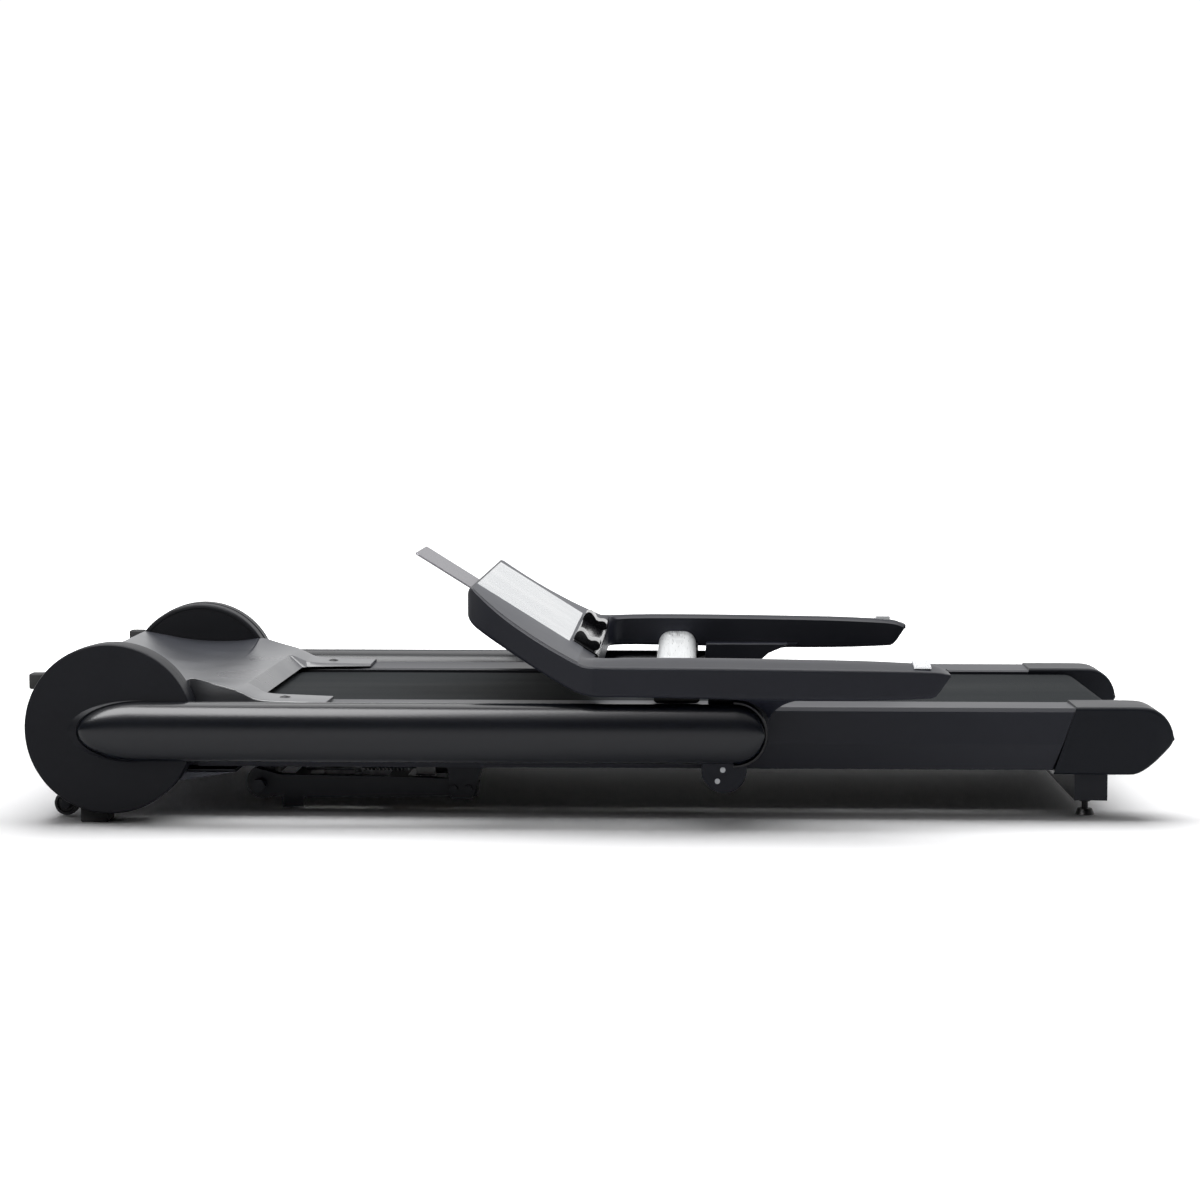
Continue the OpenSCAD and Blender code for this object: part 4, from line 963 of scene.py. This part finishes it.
def build_shade_saddle(side, s):
    """Black saddle over the cross bar's end under the handrail: a dark piece that paints the shade on the
    bar's end there.
    """
    low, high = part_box("cross_bar")
    bm = bmesh.new()
    x0, x1 = low.x + 0.001, high.x + 0.004
    outline = [(x0, 0.203), (x0, 0.187), (x0 + 0.004, 0.1835), (x1 - 0.004, 0.1835), (x1, 0.187), (x1, 0.203)]
    slab(bm, outline, s * 0.335, s * 0.372)
    tidy(bm)
    soften(bm, 0.001, angle=40, segments=2)
    # A black piece: painted shade on the cross bar's end under the handrail.
    piece(f"bar_clamp_{side}", bm, "console", "black_plastic")


def build_handrail_details():
    """Cross bar between the handrails and the display window, each with its edges eased."""
    rounded("cross_bar", 0.0008, angle=60, segments=2, name="cross_tube")
    rounded("display_panel", 0.0007, name="display_window")


# Lift, wheels, feet and the rest of the frame


ROUNDED = {
    "rear_beam": (0.0025, 40), "wheel_brackets": (0.0012, 35), "lift_brackets": (0.001, 35),
    "lift_frame": (0.0012, 35), "front_feet": (0.003, 35), "front_bumpers": (0.003, 35),
    "levelling_feet": (0.0012, 35), "front_panel": (0.0015, 40), "belly_pan": (0.003, 20),
    "lift_motor": (0.0015, 40), "side_tubes": (0.003, 40), "cross_members": (0.002, 40),
}


def build_frame_parts():
    """Pressed and welded parts of the frame, each with its edges eased."""
    for node, (width, angle) in ROUNDED.items():
        rounded(node, width, angle)


def build_wheels():
    """Transport wheels: a tyre with a crowned tread, a web and a hub."""
    for side, _ in SIDES:
        node = f"wheel_{side}"
        low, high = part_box(node)
        centre = (low + high) / 2
        radius = (high.z - low.z) / 2
        half = (high.y - low.y) / 2
        y = centre.y
        outline = [
            (0.0052, y - half * 0.8), (0.0085, y - half * 0.8), (0.0095, y - half * 0.45),
            (radius * 0.70, y - half * 0.45), (radius * 0.76, y - half), (radius * 0.93, y - half),
            (radius * 0.985, y - half * 0.72), (radius, y), (radius * 0.985, y + half * 0.72),
            (radius * 0.93, y + half), (radius * 0.76, y + half), (radius * 0.70, y + half * 0.45),
            (0.0095, y + half * 0.45), (0.0085, y + half * 0.8), (0.0052, y + half * 0.8),
            (0.0052, y - half * 0.8)
        ]
        bm = bmesh.new()
        turned(bm, outline, centre, 72)
        tidy(bm)
        piece(f"wheel_{side}_tyre", bm, node, "black_plastic", [node])


def finish_cad():
    """Gives every CAD node the finish of its slot."""
    for node in frame["nodes"].values():
        for place in node.material_slots:
            place.material = bpy.data.materials[place.material.name + "_finish"]


FLOOR_RADIUS = 60
GLOW_SQUEEZE = (0.62, 1.0, 1.0)
GLOW_START = 0.75
GLOW_FULL = 2.4
STUDIO_DIM = 0.03
STUDIO_BRIGHT = 1.05
DIFFUSE_SHARE = 0.3


def lay_stage():
    """Pale floor, soft studio light and the camera."""
    lay_floor()
    add_light("Overhead", (0.1, 0.7, 3.4), (0.1, 0.1, 0), (4.5, 3.0), 200)
    strip = add_light("Strip", (-1.45, -1.85, 2.3), (-0.6, -0.4, 0.15), (2.5, 1.7), 230)
    strip.visible_diffuse = False
    light_world()
    add_camera()


def lay_floor():
    """Pale disc, plain under the object and glowing white further out."""
    bm = bmesh.new()
    bmesh.ops.create_circle(bm, cap_ends=True, segments=96, radius=FLOOR_RADIUS)
    mesh = bpy.data.meshes.new("floor")
    bm.to_mesh(mesh)
    bm.free()
    floor = bpy.data.objects.new("floor", mesh)
    bpy.context.scene.collection.objects.link(floor)
    paper = Finish("floor_paper", srgb(247, 247, 248), 0.9, specular=0.2)
    squeeze = paper.add("ShaderNodeVectorMath", operation="MULTIPLY")
    squeeze.inputs[1].default_value = GLOW_SQUEEZE
    paper.join(paper.place, squeeze.inputs[0])
    reach = paper.add("ShaderNodeVectorMath", operation="LENGTH")
    paper.join(squeeze.outputs[0], reach.inputs[0])
    glow = paper.span(reach.outputs["Value"], 0, 1, GLOW_START, GLOW_FULL)
    paper.join(glow, paper.shader.inputs["Emission Strength"])
    paper.put("Emission Color", (1, 1, 1, 1))
    mesh.materials.append(paper.material)


def add_light(name, place, target, size, power):
    """A soft rectangular light that faces a target."""
    data = bpy.data.lights.new(name, "AREA")
    data.shape = "RECTANGLE"
    data.size, data.size_y = size
    data.energy = power
    light = bpy.data.objects.new(name, data)
    light.location = place
    light.rotation_euler = (Vector(target) - Vector(place)).to_track_quat("-Z", "Y").to_euler()
    bpy.context.scene.collection.objects.link(light)
    return light


def add_camera():
    """Camera low beside the left side, looking a little down on the object."""
    data = bpy.data.cameras.new("Camera")
    data.lens = 78.15
    data.sensor_width = 36
    camera = bpy.data.objects.new("Camera", data)
    camera.location = (0.1318, -4.2516, 0.6513)
    camera.rotation_euler = (math.radians(90 - 4.6089), 0, math.radians(1.9723))
    bpy.context.scene.collection.objects.link(camera)
    bpy.context.scene.camera = camera


def light_world():
    """Studio round the object: white overhead and behind, dim low in front, white to the eye."""
    world = bpy.data.worlds.new("Studio")
    world.use_nodes = True
    bpy.context.scene.world = world
    bpy.context.scene.view_settings.view_transform = "Standard"
    tree = world.node_tree
    shine = tree.nodes["Background"]
    add, join = tree.nodes.new, tree.links.new

    def span(socket, start, end, low=0.0, high=1.0, shape="LINEAR"):
        node = add("ShaderNodeMapRange")
        node.interpolation_type = shape
        for key, number in (("From Min", start), ("From Max", end), ("To Min", low), ("To Max", high)):
            node.inputs[key].default_value = number
        join(socket, node.inputs["Value"])
        return node.outputs["Result"]

    def combine(operation, first, second):
        node = add("ShaderNodeMath")
        node.operation = operation
        join(first, node.inputs[0])
        join(second, node.inputs[1])
        return node.outputs[0]

    parts = add("ShaderNodeSeparateXYZ")
    join(add("ShaderNodeTexCoord").outputs["Generated"], parts.inputs[0])
    overhead = span(parts.outputs["Z"], 0.36, 0.62, shape="SMOOTHSTEP")
    behind = span(parts.outputs["Y"], -0.15, 0.45, shape="SMOOTHSTEP")
    path = add("ShaderNodeLightPath")
    bright = combine("MAXIMUM", combine("MAXIMUM", overhead, behind), path.outputs["Is Camera Ray"])
    level = span(bright, 0, 1, STUDIO_DIM, STUDIO_BRIGHT)
    share = span(path.outputs["Is Diffuse Ray"], 0, 1, 1.0, DIFFUSE_SHARE)
    join(combine("MULTIPLY", level, share), shine.inputs["Strength"])
    shine.inputs["Color"].default_value = (1, 1, 1, 1)


# Operators


class TREADMILL_OT_finishes(bpy.types.Operator):
    """Makes every finish and gives each CAD part its own"""

    bl_idname = "treadmill.finishes"
    bl_label = "Finishes"

    def execute(self, context):
        finishes()
        finish_cad()
        return {"FINISHED"}


class TREADMILL_OT_drums(bpy.types.Operator):
    """Builds the side drums and the covers that turn with the uprights"""

    bl_idname = "treadmill.drums"
    bl_label = "Drums and covers"

    def execute(self, context):
        build_drums()
        return {"FINISHED"}


class TREADMILL_OT_uprights(bpy.types.Operator):
    """Builds the oval upright tubes"""

    bl_idname = "treadmill.uprights"
    bl_label = "Uprights"

    def execute(self, context):
        build_uprights()
        return {"FINISHED"}


class TREADMILL_OT_hood(bpy.types.Operator):
    """Builds the motor hood and its screws"""

    bl_idname = "treadmill.hood"
    bl_label = "Motor hood"

    def execute(self, context):
        build_hood()
        build_hood_screws()
        return {"FINISHED"}


class TREADMILL_OT_rails(bpy.types.Operator):
    """Builds the side rails and their end caps"""

    bl_idname = "treadmill.rails"
    bl_label = "Rails and end caps"

    def execute(self, context):
        build_rails()
        return {"FINISHED"}


class TREADMILL_OT_deck(bpy.types.Operator):
    """Builds the running belt"""

    bl_idname = "treadmill.deck"
    bl_label = "Running belt"

    def execute(self, context):
        build_deck()
        return {"FINISHED"}


class TREADMILL_OT_console(bpy.types.Operator):
    """Builds the console, its face, the ledge and the tablet holder"""

    bl_idname = "treadmill.console"
    bl_label = "Console"

    def execute(self, context):
        build_console_body()
        build_bezel()
        build_ledge()
        build_holder()
        return {"FINISHED"}


class TREADMILL_OT_handrails(bpy.types.Operator):
    """Builds the lobes under the handrails, the cross bar and the display window"""

    bl_idname = "treadmill.handrails"
    bl_label = "Lobes and cross bar"

    def execute(self, context):
        build_lobes()
        build_handrail_details()
        return {"FINISHED"}


class TREADMILL_OT_frame_parts(bpy.types.Operator):
    """Eases the edges of the frame, the lift and the feet, and builds the wheels"""

    bl_idname = "treadmill.frame_parts"
    bl_label = "Frame, lift and wheels"

    def execute(self, context):
        build_frame_parts()
        build_wheels()
        return {"FINISHED"}


class TREADMILL_OT_stage(bpy.types.Operator):
    """Lays the floor, the studio light and the camera"""

    bl_idname = "treadmill.stage"
    bl_label = "Stage"

    def execute(self, context):
        lay_stage()
        return {"FINISHED"}


OPERATORS = (
    TREADMILL_OT_finishes,
    TREADMILL_OT_drums,
    TREADMILL_OT_uprights,
    TREADMILL_OT_hood,
    TREADMILL_OT_rails,
    TREADMILL_OT_deck,
    TREADMILL_OT_console,
    TREADMILL_OT_handrails,
    TREADMILL_OT_frame_parts,
    TREADMILL_OT_stage,
)


class TREADMILL_PT_panel(bpy.types.Panel):
    """Lists the treadmill's sizes, colours and building steps"""

    bl_idname = "TREADMILL_PT_panel"
    bl_label = "Treadmill"
    bl_space_type = "VIEW_3D"
    bl_region_type = "UI"
    bl_category = "Treadmill"

    def draw(self, context):
        for group in (context.scene.treadmill_sizes, context.scene.treadmill_colours):
            box = self.layout.box()
            for key in group.bl_rna.properties.keys():
                if key not in ("rna_type", "name"):
                    box.prop(group, key)
        for step in OPERATORS:
            self.layout.operator(step.bl_idname)


CLASSES = (TreadmillColours, TreadmillSizes, *OPERATORS, TREADMILL_PT_panel)


def register():
    for cls in CLASSES:
        bpy.utils.register_class(cls)
    bpy.types.Scene.treadmill_colours = bpy.props.PointerProperty(type=TreadmillColours)
    bpy.types.Scene.treadmill_sizes = bpy.props.PointerProperty(type=TreadmillSizes)


def unregister():
    del bpy.types.Scene.treadmill_sizes
    del bpy.types.Scene.treadmill_colours
    for cls in reversed(CLASSES):
        bpy.utils.unregister_class(cls)


def main():
    register()
    bpy.ops.treadmill.finishes()
    bpy.ops.treadmill.drums()
    bpy.ops.treadmill.uprights()
    bpy.ops.treadmill.hood()
    bpy.ops.treadmill.rails()
    bpy.ops.treadmill.deck()
    bpy.ops.treadmill.console()
    bpy.ops.treadmill.handrails()
    bpy.ops.treadmill.frame_parts()
    bpy.ops.treadmill.stage()


if __name__ == "__main__":
    main()
